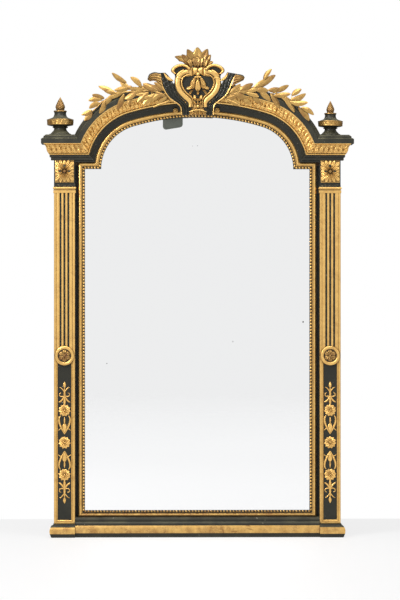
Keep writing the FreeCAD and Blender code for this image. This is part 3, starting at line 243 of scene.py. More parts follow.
def blend(values, share):
    """The value at a share of the way through a list."""
    place = share * (len(values) - 1)
    low = min(int(place), len(values) - 2)
    return values[low] + (values[low + 1] - values[low]) * (place - low)


BACK_BULGE_SHARE = 0.3


def stroke(shape, points, radii, finish=0, lift=1.0, steps=6, sides=8):
    """A carved line that swells and thins along its way, rounded to the front and flatter behind."""
    run = smooth_run(points, steps)
    rows = []
    for number, place in enumerate(run):
        ahead = run[min(number + 1, len(run) - 1)] - run[max(number - 1, 0)]
        beside = ahead.cross(FRONT).normalized()
        radius = blend(radii, number / (len(run) - 1))
        row = []
        for angle in around(sides):
            out = math.sin(angle) * radius * lift
            row.append(place + beside * math.cos(angle) * radius
                       + FRONT * (out if out > 0 else out * BACK_BULGE_SHARE))
        rows.append(row)
    shape.grid(rows, finish)


LEAF_END_SHARE = 0.02
LEAF_BACK_SHARE = 0.9
LEAF_BED_SHARE = 0.18
LEAF_LEAST_SHARE = 0.12
LEAF_VEIN_SHARE = 0.12
CREASES_ACROSS = 4.5


def leaf(shape, base, tip, half_width, rise, finish=0, lobes=0, cut=0.0, curl=0.0, bend=0.0, groove=0.35,
         belly=0.45, facing=FRONT, rows=12, cols=8, ribs=0, blunt=0.85, keel=0.0):
    """A carved leaf with a flat back, two swelling halves and a groove or a keel along its middle."""
    along = tip - base
    length = along.length
    along.normalize()
    side = along.cross(facing).normalized()
    loops = []
    for row in range(rows + 1):
        share = LEAF_END_SHARE + (1 - 2 * LEAF_END_SHARE) * row / rows
        if share < belly:
            wide = math.sin(math.pi / 2 * share / belly) ** blunt
        else:
            wide = math.cos(math.pi / 2 * (share - belly) / (1 - belly)) ** blunt
        if lobes:
            wide *= 1 - cut * abs(math.sin(math.pi * lobes * share))
        wide *= half_width
        middle = (base + along * (share * length) + side * (bend * length * math.sin(math.pi * share))
                  + facing * (curl * length * share ** 2.5))
        loop = []
        for col in range(cols + 1):
            across = 2 * col / cols - 1
            swell = (1 - keel) * math.sqrt(max(0, 1 - across * across)) + keel * (1 - abs(across))
            swell *= 0.3 + 0.7 * math.sin(math.pi * min(1, share + 0.1))
            crease = groove * math.exp(-(across * CREASES_ACROSS) ** 2)
            vein = LEAF_VEIN_SHARE * math.cos(ribs * math.pi * across) if ribs else 0
            high = max(LEAF_LEAST_SHARE, swell * (1 - crease) + LEAF_BED_SHARE + vein * swell)
            loop.append(middle + side * (across * wide) + facing * (rise * high))
        loops.append(loop + [middle + side * (wide * way * LEAF_BACK_SHARE) for way in (1, -1)])
    shape.grid(loops, finish)


def ribbed_band(shape, left, right, height_at, finish=0, cols=12, bed=FINE):
    """A carved band between two edges, whose height in front of them is given along and across."""
    rows = []
    for number, (first, last) in enumerate(zip(left, right)):
        along = number / (len(left) - 1)
        row = [first.lerp(last, col / cols) + FRONT * height_at(along, 2 * col / cols - 1) for col in range(cols + 1)]
        rows.append(row + [last + FRONT * bed, first + FRONT * bed])
    shape.grid(rows, finish)


def turned(shape, centre, profile, sides=64, axis=UP, finish=0, finish_of=None, swell=None):
    """A turned piece from radii and heights along its axis; swell adds carving to a radius."""
    third = axis.cross(RIGHT)
    rows = []
    for level, (radius, along) in enumerate(profile):
        row = []
        for angle in around(sides):
            reach = radius + (swell(angle, level) if swell else 0)
            row.append(centre + axis * along + (RIGHT * math.cos(angle) + third * math.sin(angle)) * reach)
        rows.append(row)
    shape.grid(rows, finish, finish_of=finish_of)


def halved(places):
    """A profile with a place more in the middle of each step."""
    fine = []
    for first, last in zip(places, places[1:]):
        fine += [first, tuple((a + b) / 2 for a, b in zip(first, last))]
    return fine + [places[-1]]


def arc(first, last, bow, count=8):
    """Places on a bowed line between two places, the first left out."""
    across = last[0] - first[0]
    up = last[1] - first[1]
    made = []
    for step in range(1, count + 1):
        share = step / count
        bulge = 4 * bow * share * (1 - share)
        made.append((first[0] + across * share + up * bulge, first[1] + up * share - across * bulge))
    return made


# Materials

class Finish:
    """A material, a group or a world under construction: its nodes, and the links between them."""

    def __init__(self, name, tree=None):
        if tree is None:
            self.material = bpy.data.materials.new(name)
            self.material.use_nodes = True
            tree = self.material.node_tree
            tree.nodes.clear()
        self.tree = tree

    def feed(self, socket, value):
        """Sets a socket, or links it to another one; None leaves it as it is."""
        if isinstance(value, bpy.types.NodeSocket):
            self.tree.links.new(value, socket)
        elif value is not None:
            socket.default_value = value

    def add(self, kind, *values, **settings):
        """A node with its settings, and values or sockets for its inputs in order."""
        node = self.tree.nodes.new("ShaderNode" + kind)
        for name, value in settings.items():
            setattr(node, name, value)
        for socket, value in zip(node.inputs, values):
            self.feed(socket, value)
        return node

    def named(self, node, **values):
        """A node's outputs, once its named inputs are fed; an underscore stands for a space."""
        for name, value in values.items():
            self.feed(node.inputs[name.replace("_", " ")], value)
        return node.outputs

    def group(self, name, **values):
        return self.named(self.add("Group", node_tree=bpy.data.node_groups[name]), **values)

    def place(self):
        return self.add("TexCoord").outputs["Object"]

    def facing(self, axis):
        return self.add("SeparateXYZ", self.add("NewGeometry").outputs["Normal"]).outputs[axis]

    def stretched(self, scale):
        return self.named(self.add("Mapping", self.place()), Scale=scale)[0]

    def noise(self, vector, scale, detail=4, rough=0.55, distortion=0.0):
        return self.named(self.add("TexNoise"), Vector=vector, Scale=scale, Detail=detail, Roughness=rough,
                          Distortion=distortion)[0]

    def maths(self, operation, *values):
        return self.add("Math", *values, operation=operation).outputs[0]

    def times(self, *values):
        return self.maths("MULTIPLY", *values)

    def plus(self, *values):
        return self.maths("ADD", *values)

    def span(self, value, low, high, out_low=0.0, out_high=1.0):
        return self.add("MapRange", value, low, high, out_low, out_high).outputs[0]

    def mix(self, share, first, second):
        node = self.add("Mix", share, data_type="RGBA")
        self.feed(node.inputs[6], first)
        self.feed(node.inputs[7], second)
        return node.outputs[2]

    def bump(self, height, strength, distance):
        return self.named(self.add("Bump"), Strength=strength, Distance=distance, Height=height)["Normal"]

    def surface(self, colour, metallic, roughness, normal=None, **plain):
        shader = self.named(self.add("BsdfPrincipled"), Base_Color=colour, Metallic=metallic, Roughness=roughness,
                            Normal=normal, **plain)
        self.add("OutputMaterial", shader[0])
        return self.material


def full(colour, shade=1.0):
    """A colour at a shade, with its alpha."""
    return (*(part * shade for part in colour), 1.0)


def new_group(name, inputs, *outputs):
    """A group under construction, the sockets of what it is given, and the sockets that it puts out."""
    tree = bpy.data.node_groups.new(name, "ShaderNodeTree")
    for label, default in inputs.items():
        kind = "NodeSocketVector" if isinstance(default, tuple) else "NodeSocketFloat"
        tree.interface.new_socket(name=label, in_out="INPUT", socket_type=kind).default_value = default
    for label in outputs:
        tree.interface.new_socket(name=label, in_out="OUTPUT", socket_type="NodeSocketFloat")
    return Finish(name, tree), tree.nodes.new("NodeGroupInput").outputs, tree.nodes.new("NodeGroupOutput")


def handled_edges():
    """Recesses, rubbed edges, patches and specks, as masks that most finishes share. The Recess mask is ambient
    occlusion, where shade falls in hollows: the gildings and the pine paint it in as shade, the metals as tarnish.
    """
    made, given, put = new_group("Handled edges", {"Recess depth": 0.006, "Edge width": 0.002, "Patch scale": 14.0},
                                 "Recess", "Edge", "Patch", "Speck")
    recess = made.add("AmbientOcclusion", None, given["Recess depth"], samples=8)
    edge = made.add("AmbientOcclusion", None, given["Edge width"], samples=8, inside=True)
    made.named(put, Recess=made.span(recess.outputs["AO"], 0.95, 0.35), Edge=made.span(edge.outputs["AO"], 0.85, 0.4),
               Patch=made.span(made.noise(made.place(), given["Patch scale"], 5, 0.6), 0.42, 0.64),
               Speck=made.span(made.noise(made.place(), 420.0, 3, 0.6), 0.35, 0.7))


def gold_leaf():
    """Mottle, scuffs and fine wrinkles of gold leaf, which all the gildings share."""
    made, given, put = new_group("Gold leaf", {"Mottle scale": 55.0, "Scuffs": 0.35}, "Tone", "Scuff", "Wrinkles")
    fine = made.times(made.noise(made.place(), 900.0, 2, 0.5), 0.25)
    made.named(put, Tone=made.span(made.noise(made.place(), given["Mottle scale"], 4, 0.6), 0.3, 0.72),
               Scuff=made.span(made.noise(made.place(), 17.0, 6, 0.72, 0.6), 0.56, 0.66, 0.0, given["Scuffs"]),
               Wrinkles=made.plus(made.noise(made.place(), 240.0, 4, 0.6), fine))


def black_polish():
    """Pores, chips, nicks and waves of polished wood, which all the black finishes share."""
    made, given, put = new_group("Black polish", {"Matt": 0.3}, "Pores", "Chips", "Nicks", "Sheen", "Waves")
    pores = made.noise(made.stretched((90.0, 90.0, 9.0)), 3.0, 5, 0.65)
    made.named(put, Pores=pores, Chips=made.span(made.noise(made.place(), 130.0, 3, 0.6), 0.52, 0.66),
               Nicks=made.span(made.noise(made.place(), 95.0, 2, 0.5), 0.735, 0.76),
               Sheen=made.span(pores, 0.2, 0.8, given["Matt"], made.plus(given["Matt"], 0.2)),
               Waves=made.plus(made.noise(made.place(), 160.0, 4, 0.6), made.times(pores, 0.6)))


def growth_rings():
    """Growth rings stretched along a board, which all the pine shares."""
    made, given, put = new_group("Growth rings", {"Stretch": (24.0, 24.0, 1.6)}, "Line")
    rings = made.noise(made.stretched(given["Stretch"]), 1.6, 5, 0.55, 1.2)
    made.named(put, Line=made.span(made.maths("FRACT", made.times(rings, 9.0)), 0.0, 1.0, 0.25, 1.0))


GILDINGS = {
    # Wear, strength of the toner and painted shade in the recesses, share of deep gold, shade, depth of the recesses,
    # scuffs, scale of the mottle
    "gilding": ("Bright gilding", 0.35, 0.85, 0.55, 1.0, 0.007, 0.35, 55.0),
    "fine gilding": ("Gilding of fine carving", 0.25, 0.8, 0.7, 1.14, 0.006, 0.3, 150.0),
    # The arch's gilding is a lighter copy of the fine gilding with less recess darkening: light painted in against
    # the shade of the cap above it.
    "arch gilding painted lighter": ("Gilding of the arch, painted lighter", 0.2, 0.62, 0.3, 1.18, 0.006, 0.15, 150.0),
    "bright gilding": ("Burnished gilding", 0.2, 0.95, 0.5, 1.0, 0.009, 0.2, 55.0),
    "carved gilding": ("Gilding of bold carving", 0.3, 0.94, 0.9, 0.7, 0.014, 0.6, 90.0),
    # The fillets' gilding is painted brighter than the rest of the band: a painted highlight along the thin fillets.
    "fillet gilding painted bright": ("Gilding of the fillets, painted bright", 0.2, 0.4, 0.3, 1.25, 0.004, 0.1, 55.0),
    "worn gilding": ("Gilding worn by the floor", 0.85, 0.85, 0.8, 0.96, 0.006, 0.9, 40.0),
    "darker rubbed gilding": ("Rubbed, darker gilding", 0.8, 0.94, 0.9, 0.58, 0.01, 0.6, 90.0),
    "dark gilding": ("Darkened gilding", 0.9, 0.95, 1.0, 0.5, 0.007, 0.35, 55.0),
}


def gilding(name, wear, recess_shade_and_toning, deep, shade, depth, scuffs, mottle):
    """Gold leaf over red bole on gesso, rubbed on its edges, and darkened in its recesses by toner and painted shade.
    """
    tint = colours()
    made = Finish(name)
    masks = made.group("Handled edges", Recess_depth=depth, Edge_width=0.0016, Patch_scale=26.0)
    leaves = made.group("Gold leaf", Mottle_scale=mottle, Scuffs=scuffs)
    colour = made.mix(made.times(leaves["Tone"], deep), full(tint.gold, shade), full(tint.deep_gold, shade))
    rubbed = made.plus(made.times(made.times(masks["Patch"], masks["Speck"]), wear),
                       made.times(masks["Edge"], made.span(leaves["Tone"], 0.4, 1.0, 0.0, wear)))
    colour = made.mix(made.maths("MINIMUM", rubbed, 0.9), colour, full(tint.bole))
    colour = made.mix(leaves["Scuff"], colour, full(tint.scuff))
    # Darkening in the recesses from ambient occlusion: partly toner, partly painted shade. It also dulls and roughens
    # the gold there.
    dark = made.times(masks["Recess"], recess_shade_and_toning)
    colour = made.mix(dark, colour, full(tint.toner_and_shade))
    metallic = made.maths("SUBTRACT", 0.95, made.plus(made.times(dark, 0.6), made.times(rubbed, 0.7)))
    roughness = made.plus(made.span(leaves["Tone"], 0.0, 1.0, 0.3, 0.44), made.times(dark, 0.3))
    return made.surface(colour, made.maths("MAXIMUM", metallic, 0.15), roughness,
                        made.bump(leaves["Wrinkles"], 0.25, 0.001))


def ebonised(name, dusty=0.6, matt=0.3):
    """Black polish on wood, with dust on what faces up, scuffed edges and pale chips."""
    tint = colours()
    made = Finish(name)
    masks = made.group("Handled edges", Recess_depth=0.012, Edge_width=0.002, Patch_scale=18.0)
    polish = made.group("Black polish", Matt=matt)
    lying = made.plus(made.times(made.span(made.facing("Z"), 0.15, 0.9), 0.8), 0.16)
    film = made.times(lying, made.times(made.span(masks["Patch"], 0.0, 1.0, 0.35, 1.0), dusty))
    colour = made.mix(film, full(tint.black), full(tint.dust))
    colour = made.mix(made.span(polish["Pores"], 0.5, 0.8, 0.0, 0.35), colour, (0.03, 0.035, 0.028, 1.0))
    chip = made.times(masks["Edge"], polish["Chips"])
    colour = made.mix(made.times(chip, 0.8), colour, (0.22, 0.18, 0.11, 1.0))
    colour = made.mix(made.times(polish["Nicks"], 0.7), colour, (0.38, 0.34, 0.26, 1.0))
    return made.surface(colour, 0.0, made.plus(polish["Sheen"], made.times(film, 0.3)),
                        made.bump(polish["Waves"], 0.25, 0.001), Specular_IOR_Level=0.32)


def bare_pine(name, stretch=(24.0, 24.0, 1.6), painted=0.0):
    """Old unfinished pine with painted shade in its corners, and black in front where it is painted."""
    tint = colours()
    made = Finish(name)
    line = made.group("Growth rings", Stretch=stretch)["Line"]
    masks = made.group("Handled edges", Recess_depth=0.02, Edge_width=0.003, Patch_scale=6.0)
    colour = made.mix(line, full(tint.pine, 0.55), full(tint.pine))
    # Painted shade: the pine turns dark brown where the Recess mask finds its corners.
    colour = made.mix(made.times(masks["Recess"], 0.7), colour, (0.05, 0.03, 0.016, 1.0))
    colour = made.mix(made.times(masks["Patch"], 0.4), colour, (0.16, 0.09, 0.045, 1.0))
    colour = made.mix(made.span(made.facing("Y"), -0.4, -0.6, 0.0, painted), colour, full(tint.black))
    return made.surface(colour, 0.0, made.span(line, 0.0, 1.0, 0.8, 0.62), made.bump(line, 0.3, 0.0008))


def aged_metal(name, colour, tarnish):
    """Metal with tarnish in its recesses and in patches, bright on its edges."""
    made = Finish(name)
    masks = made.group("Handled edges", Recess_depth=0.004, Edge_width=0.0008, Patch_scale=60.0)
    tone = made.maths("MAXIMUM", masks["Patch"], masks["Recess"])
    mixed = made.mix(made.times(tone, 0.7), full(colour), full(tarnish))
    mixed = made.mix(made.times(masks["Edge"], 0.4), mixed, (0.8, 0.65, 0.4, 1.0))
    return made.surface(mixed, made.span(tone, 0.0, 1.0, 1.0, 0.75), made.span(tone, 0.0, 1.0, 0.3, 0.6),
                        made.bump(made.noise(made.place(), 700.0, 3, 0.6), 0.2, 0.0004))


def silvered_glass(name):
    """Old silvered plate: a clear reflection with a faint haze and a few specks in the silver."""
    made = Finish(name)
    specks = made.span(made.noise(made.place(), 34.0, 2, 0.5), 0.8, 0.82)
    haze = made.span(made.noise(made.place(), 3.0, 3, 0.5), 0.3, 0.8)
    colour = made.mix(specks, (0.93, 0.935, 0.94, 1.0), (0.06, 0.06, 0.06, 1.0))
    return made.surface(colour, 1.0, made.times(haze, 0.035))


def plain_card(name):
    """Grey card with its fibres."""
    made = Finish(name)
    card = colours().card
    fibres = made.noise(made.place(), 300.0, 5, 0.7)
    colour = made.mix(made.span(fibres, 0.3, 0.7), full(card), full(card, 1.5))
    return made.surface(colour, 0.0, 0.85, made.bump(fibres, 0.3, 0.0003))


def studio_floor(name):
    """A pale floor that shines a little of its own light and fades out towards the viewer."""
    made = Finish(name)
    cloud = made.span(made.noise(made.place(), 2.5, 3, 0.5), 0.3, 0.7, 0.0, 0.4)
    away = made.add("SeparateXYZ", made.place()).outputs["Y"]
    lit = made.mix(made.span(away, -1.5, -6.0), (0.72, 0.72, 0.72, 1.0), (0.8, 0.8, 0.8, 1.0))
    return made.surface(made.mix(cloud, full(colours().floor), (0.16, 0.16, 0.163, 1.0)), 0.0, 0.6,
                        made.bump(made.noise(made.place(), 60.0, 3, 0.6), 0.05, 0.001),
                        Emission_Color=lit, Emission_Strength=1.0, Alpha=made.span(away, -15.5, -6.8))


FINISHES = {}


def finish(name):
    """The finish of that name; all are made when the first is asked for."""
    if not FINISHES:
        tint = colours()
        for group in (handled_edges, gold_leaf, black_polish, growth_rings):
            group()
        FINISHES.update({key: gilding(*values) for key, values in GILDINGS.items()})
        FINISHES.update({
            "black": ebonised("Ebonised wood"),
            "dusty black": ebonised("Dusty ebonised wood", 0.95),
            "glossy black": ebonised("Polished ebonised wood", 0.15, 0.16),
            "pine": bare_pine("Upright pine"),
            "painted pine": bare_pine("Pine painted in front", painted=1.0),
            "level pine": bare_pine("Level pine", (1.6, 24.0, 24.0)),
            "brass": aged_metal("Tarnished brass", tint.brass, (0.09, 0.06, 0.025)),
            "iron": aged_metal("Dull iron", tint.iron, (0.1, 0.045, 0.02)),
            "glass": silvered_glass("Silvered glass"),
            "card": plain_card("Grey card"),
            "floor": studio_floor("Studio floor"),
        })
    return FINISHES[name]


def dress(name, *nodes):
    """Gives CAD nodes that keep their own shape a finish."""
    for node in nodes:
        part = NODES[node]
        if not part.material_slots:
            part.data.materials.append(finish(name))
        for slot in part.material_slots:
            slot.material = finish(name)


# The opening and what runs round it. An offset is how far a line lies outside the edge of the glass.

def haunch():
    """The radius of the haunches and how far out their centres lie."""
    size = sizes()
    radius = ((size.half_span ** 2 + size.rise ** 2 - 2 * size.crown * size.rise)
              / (2 * (size.half_span - size.crown)))
    return radius, size.half_span - radius


def lean():
    """The angle from upright at which the crown meets the haunches."""
    radius, place = haunch()
    return math.asin(place / (sizes().crown - radius))


def springing(offset):
    """How far out the arch at an offset meets its own springing line."""
    radius, place = haunch()
    return place + math.sqrt(radius ** 2 + 2 * radius * offset)


def arch_lengths():
    """The lengths of a haunch and of the crown, along the edge of the glass."""
    return haunch()[0] * (math.pi / 2 - lean()), 2 * sizes().crown * lean()


def arch_place(share, offset):
    """A place on the arch at an offset, from its right springing to its left one."""
    size = sizes()
    radius, place = haunch()
    side, crown = arch_lengths()
    way = share * (2 * side + crown)
    if way > side + crown:
        across, up = arch_place(1 - share, offset)
        return -across, up
    if way <= side:
        start = math.atan2(offset, springing(offset) - place)
        angle = start + (math.pi / 2 - lean() - start) * way / side
        return place + (radius + offset) * math.cos(angle), size.shoulder + (radius + offset) * math.sin(angle)
    angle = math.pi / 2 - lean() + 2 * lean() * (way - side) / crown
    centre = size.shoulder + size.rise - size.crown
    return (size.crown + offset) * math.cos(angle), centre + (size.crown + offset) * math.sin(angle)


ARCH_STEPS = 96
QUARTERS = (0, 0.25, 0.5, 0.75, 1)


def strip_runs():
    """The four strips round the opening: name, and places for an offset, evenly spaced."""
    size = sizes()

    def floor_run(offset):
        reach = size.half_width + offset
        return [(reach * (2 * share - 1), size.floor - offset) for share in QUARTERS]

    def side_run(offset, side):
        foot = size.floor - offset
        top = size.shoulder + offset
        rows = [((size.half_width + offset) * side, foot + (top - foot) * share) for share in QUARTERS]
        return rows + [(springing(offset) * side, top)]

    def arch_run(offset):
        return [arch_place(number / ARCH_STEPS, offset) for number in range(ARCH_STEPS + 1)]

    return (("bottom", floor_run), ("right", lambda offset: side_run(offset, 1)),
            ("left", lambda offset: side_run(offset, -1)), ("arch", arch_run))


def swept(shape, section, run, finish=0):
    """A moulding: a closed section of offsets and depths, along a run of places for an offset."""
    lines = [[Vector((across, depth, up)) for across, up in run(offset)] for offset, depth in section]
    shape.grid([list(row) for row in zip(*lines)], finish)


def bead(shape, centre, along, radius, length):
    """One pearl of the bead string, a little longer than wide."""
    side = along.cross(FRONT).normalized()
    rows = []
    for level in range(1, 8):
        angle = math.pi * level / 8
        rows.append([centre - along * (math.cos(angle) * length)
                     + (side * math.cos(turn) + FRONT * math.sin(turn)) * (math.sin(angle) * radius)
                     for turn in around(10)])
    shape.grid(rows)


def walk(run, pitch, margin):
    """Evenly spaced places and directions along a run."""
    points = [Vector((across, 0, up)) for across, up in run]
    lengths = [(last - first).length for first, last in zip(points, points[1:])]
    whole = sum(lengths) - 2 * margin
    count = max(1, round(whole / pitch))
    found = []
    for number in range(count + 1):
        way = margin + whole * number / count
        for first, last, length in zip(points, points[1:], lengths):
            if way <= length or last is points[-1]:
                found.append((first.lerp(last, way / length), (last - first).normalized()))
                break
            way -= length
    return found


class MIRROR_OT_sight(bpy.types.Operator):
    """Make the gilt moulding and the bead string round the glass."""
    bl_idname = "mirror.sight"
    bl_label = "Sight moulding and beads"

    def execute(self, context):
        size = sizes()
        low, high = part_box("sight_moulding_bottom")
        string_front, string_rear = (corner.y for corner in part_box("bead_string_bottom"))
        inner = size.floor - high.z
        outer = size.floor - low.z
        wide = outer - inner
        rear = high.y
        fillet = rear - (rear - low.y) * 0.72
        groove = rear - (rear - fillet) * 0.94
        start = (inner + wide * 0.16, groove)
        section = [(inner, rear), (inner, fillet), (inner + wide * 0.1, fillet), start,
                   *arc(start, (outer - wide * 0.06, groove), 0.3, 10),
                   (outer, rear - (rear - fillet) * 0.9), (outer, rear)]
        thick = string_rear - string_front
        bed = string_rear - thick * 0.42
        string_section = [(0, string_rear), (0, string_rear - thick * 0.35), (inner * 0.12, bed), (inner * 0.88, bed),
                          (inner, string_rear - thick * 0.5), (inner, string_rear)]
        for name, run in strip_runs():
            gilt = "darker rubbed gilding" if name == "bottom" else "gilding"
            moulding = Shape()
            swept(moulding, section, run)
            if name == "arch":
                self.end_scrolls(moulding, low.y + 0.002)
            moulding.piece("gilt_moulding_" + name, "sight_moulding_" + name, "gilding", gilt)
            string = Shape()
            swept(string, string_section, run, 1)
            line = run(inner / 2)
            for part in [line[:5], line[4:]] if name in ("left", "right") else [line]:
                self.pearls(string, part, inner * 0.44, string_front)
            string.piece("pearl_string_" + name, "bead_string_" + name, "gilding", gilt, "black", sharp=60)
        return {"FINISHED"}

    def pearls(self, shape, run, radius, front):
        """Pearls along a straight or curved run, each leaning over."""
        size = sizes()
        for place, along in walk(run, size.bead_pitch, size.bead_pitch * 0.55):
            place.y = front + radius
            slant = along.cross(FRONT) * math.tan(size.bead_slant)
            bead(shape, place, (along + slant).normalized(), radius * 0.98, size.bead_pitch * 0.43)

    def end_scrolls(self, shape, depth):
        """The scrolls in which the moulding ends at each side of the cartouche."""
        boss = [(0.0095, 0), (0.0095, 0.003), (0.008, 0.005), (0.004, 0.006), (0.001, 0.0075)]
        for across, up, way in ((175.6, 110.2, 1), (217.6, 109.6, -1)):
            centre = spot(across, up, depth)
            turned(shape, centre, boss, 28, FRONT)
            spiral = []
            for step in range(9):
                angle = math.radians(-90 + 70 * step)
                reach = 0.0098 * (1 - step / 11)
                spiral.append(centre + FRONT * (0.0035 + 0.0004 * step)
                              + Vector((math.cos(angle) * way, 0, math.sin(angle))) * reach)
            stroke(shape, spiral, [0.001, 0.0022, 0.0022, 0.0018, 0.0012], lift=1.3)


# The arch and the cornice

BAND_STEPS = 26
FILLET_SHARES = (0.085, 0.9)
LEAF_SHARES = (0.12, 0.87)
BAND_SLOPE = 24 / 42
BAND_LONGER = 1.28
BAND_STATION = 0.00192
BAND_FLARE = 0.022
RETURN_STATIONS = (110, 60)
RELIEF_OUT = 0.9
RELIEF_DOWN = 0.35


def leaf_relief(along, up, pitch):
    """Height from 0 to 1 of a row of pointed leaves, with a dart between each two."""
    if not FILLET_SHARES[0] <= up <= FILLET_SHARES[1]:
        return 1.0
    if not LEAF_SHARES[0] <= up <= LEAF_SHARES[1]:
        return 0.1
    turn = along / pitch
    across = 2 * abs(turn - math.floor(turn + 0.5))
    rise = (up - LEAF_SHARES[0]) / (LEAF_SHARES[1] - LEAF_SHARES[0])
    half = 0.94 * math.sin(math.pi * min(1, 0.24 + 0.76 * rise)) ** 0.6 - 0.16 * abs(math.sin(3 * math.pi * rise))
    inside = max(0.0, min(1.0, (half - across) / 0.2))
    crease = 0.4 * math.exp(-(across / 0.13) ** 2)
    veins = 0.14 * math.sin(6 * math.pi * (rise + across * 0.6))
    height = 0.3 + 0.7 * inside * (0.8 + 0.2 * math.sin(math.pi * rise) - crease + veins)
    dart = max(0.0, 1 - abs(1 - across) / (0.4 * rise + 0.02)) if rise > 0.25 else 0
    knock = noise.noise(Vector((along * 260, up * 7, 0)))
    return max(0.0, max(height, 0.3 + dart * 0.6) * (0.86 + 0.4 * knock))


def band_levels():
    """The leaf band's section, from its foot to its top: offsets, depths and shares of its height."""
    low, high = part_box("leaf_band_left")
    tall = high.z - low.z
    levels = []
    for number in range(BAND_STEPS + 1):
        share = number / BAND_STEPS
        curve = share + 0.1 * math.sin(math.tau * share)
        levels.append((low.z - sizes().shoulder + tall * share, low.y + tall * BAND_SLOPE * (1 - curve), share))
    return levels


def band_coat(number, place):
    """The finish of a face of the leaf band: 1, the fillet gilding with its painted highlight, on its fillets and
    behind them, 0 on its leaves.
    """
    return 1 if place < 2 or place > BAND_STEPS - 3 else 0


class MIRROR_OT_arch(bpy.types.Operator):
    """Make the carved leaf bands and dress the cove, the cap and the cornice slabs."""
    bl_idname = "mirror.arch"
    bl_label = "Arch and cornice"

    def execute(self, context):
        size = sizes()
        levels = band_levels()
        side, crown = arch_lengths()
        long = (2 * side + crown) * BAND_LONGER
        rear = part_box("leaf_band_arch")[1].y
        stations = round(long / BAND_STATION)
        rows = []
        for station in range(stations + 1):
            share = station / stations
            row = []
            for offset, depth, up in levels:
                out = size.relief * (leaf_relief((share - 0.5) * long, up, size.leaf_pitch) - 1)
                across, height = arch_place(share, offset - out * RELIEF_DOWN)
                row.append(Vector((across, depth - out * RELIEF_OUT, height)))
            for offset in (levels[-1][0], levels[0][0]):
                across, height = arch_place(share, offset)
                row.append(Vector((across, rear, height)))
            rows.append(row)
        shape = Shape()
        shape.grid(rows, finish_of=band_coat)
        shape.piece("carved_band_arch", "leaf_band_arch", "gilding", "arch gilding painted lighter", "fillet gilding painted bright", sharp=50)
        for name, way in SIDES:
            self.side_band(name, way, levels)
        dress("black", "inner_cove_arch")
        dress("dusty black", "cap_moulding_arch", "cornice_slab_left", "cornice_slab_right")
        return {"FINISHED"}

    def side_band(self, name, way, levels):
        """The band over a pilaster, returned along the side of the mirror."""
        size = sizes()
        low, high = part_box("leaf_band_" + name)
        foot, top = levels[0][1], levels[-1][1]
        before, beside = RETURN_STATIONS
        rows = []
        for station in range(before + beside + 1):
            row = []
            for offset, depth, up in levels:
                reach = max(high.x, -low.x) - BAND_FLARE * (1 - (foot - depth) / (foot - top))
                inner = springing(offset)
                in_front = station <= before
                share = station / before if in_front else (station - before) / beside
                along = (reach - inner) * (1 - share) if in_front else (high.y - depth) * share
                out = size.relief * (leaf_relief(along + size.leaf_pitch / 2, up, size.leaf_pitch) - 1) * RELIEF_OUT
                across = inner + (reach - inner) * share if in_front else reach + out
                away = depth - out if in_front else depth + (high.y - depth) * share
                row.append(Vector((across * way, away, size.shoulder + offset)))
            rows.append(row)
        shape = Shape()
        shape.grid(rows, closed=False, finish_of=band_coat)
        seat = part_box("cornice_slab_left")[1].y
        behind = [Vector((corner.x, seat, corner.z)) for corner in (rows[0][-1], rows[0][0])]
        shape.face([row[-1] for row in rows] + behind[:1])
        shape.face([row[0] for row in rows] + behind[1:])
        shape.face(rows[0] + behind)
        shape.face(rows[-1] + behind)
        shape.piece("carved_band_" + name, "leaf_band_" + name, "gilding", "fine gilding", "fillet gilding painted bright", sharp=50)


# Pilasters

def rosette(shape, centre, radius, petals, rise, finish=0, start=90.0, lobes=0, cut=0.0, width=1.0, groove=0.4,
            belly=0.62, button=0.22):
    """Petals round a button."""
    half = math.sin(math.pi / petals) * radius * width
    for turn in around(petals):
        angle = math.radians(start) + turn
        out = Vector((math.cos(angle), 0, math.sin(angle))) * radius
        leaf(shape, centre + out * button * 0.7, centre + out, half, rise, finish, lobes, cut, groove=groove,
             belly=belly, rows=9, cols=6)
    knob = [(radius * button * math.sin(math.pi / 2 * share), rise * (0.6 + 0.75 * math.cos(math.pi / 2 * share)))
            for share in (1, 0.85, 0.65, 0.4, 0.15)]
    turned(shape, centre, knob, 16, FRONT, finish)


# Flutes of the upper panels: place across, half width, and finish
FLUTES = ((-0.031, 0.0013, 0), (-0.015, 0.0038, 1), (0, 0.0038, 1), (0.015, 0.0038, 1), (0.031, 0.0013, 0))
FLUTE_DEPTH = 0.0046
FLUTE_EASING = 0.0012
PANEL_EASING = 0.001

# Border of the lower panels: shares of its width, and how far behind its front; the last seats on the panel
BORDER_WIDTH = 0.0145
BORDER_PROFILE = [(0.0012 / BORDER_WIDTH, 0), (0.55, 0), (0.62, 0.0012), (0.7, 0.0004), (0.86, 0.0006), (1, 0.0026)]
BORDER_TOP_SHARE = 1.7

# Lyre between two flowers, its wing, and the skirt, hooks and tips above them: places in steps, and radii
VINE_STEPS = [
    ([(0, 8.6), (1.5, 11.4), (3.6, 15.6), (5.4, 20.4), (5.4, 24.4), (4, 27)], (1.6, 2.4, 3.8, 4.2, 3.2, 1.6)),
    ([(2.2, 14.6), (4.4, 13.6), (6.3, 12)], (2.2, 1.9, 1)),
    ([(0.4, 46.6), (1.8, 43.6), (3.8, 41.4), (5.6, 40.4)], (2.4, 3.4, 3.2, 1.8)),
    ([(0.8, 46.4), (3, 46), (4.9, 47), (4.9, 49), (3.4, 49.8)], (2.2, 2, 1.9, 1.6, 1)),
    ([(0.2, 50.8), (1.8, 53), (3.6, 54.8), (5, 55.4)], (2.2, 2.1, 1.6, 0.9)),
]
VINE_THICKNESS = 0.00105
FLOWER_STEPS = 32.3

ROUNDEL_SHARE = 0.955
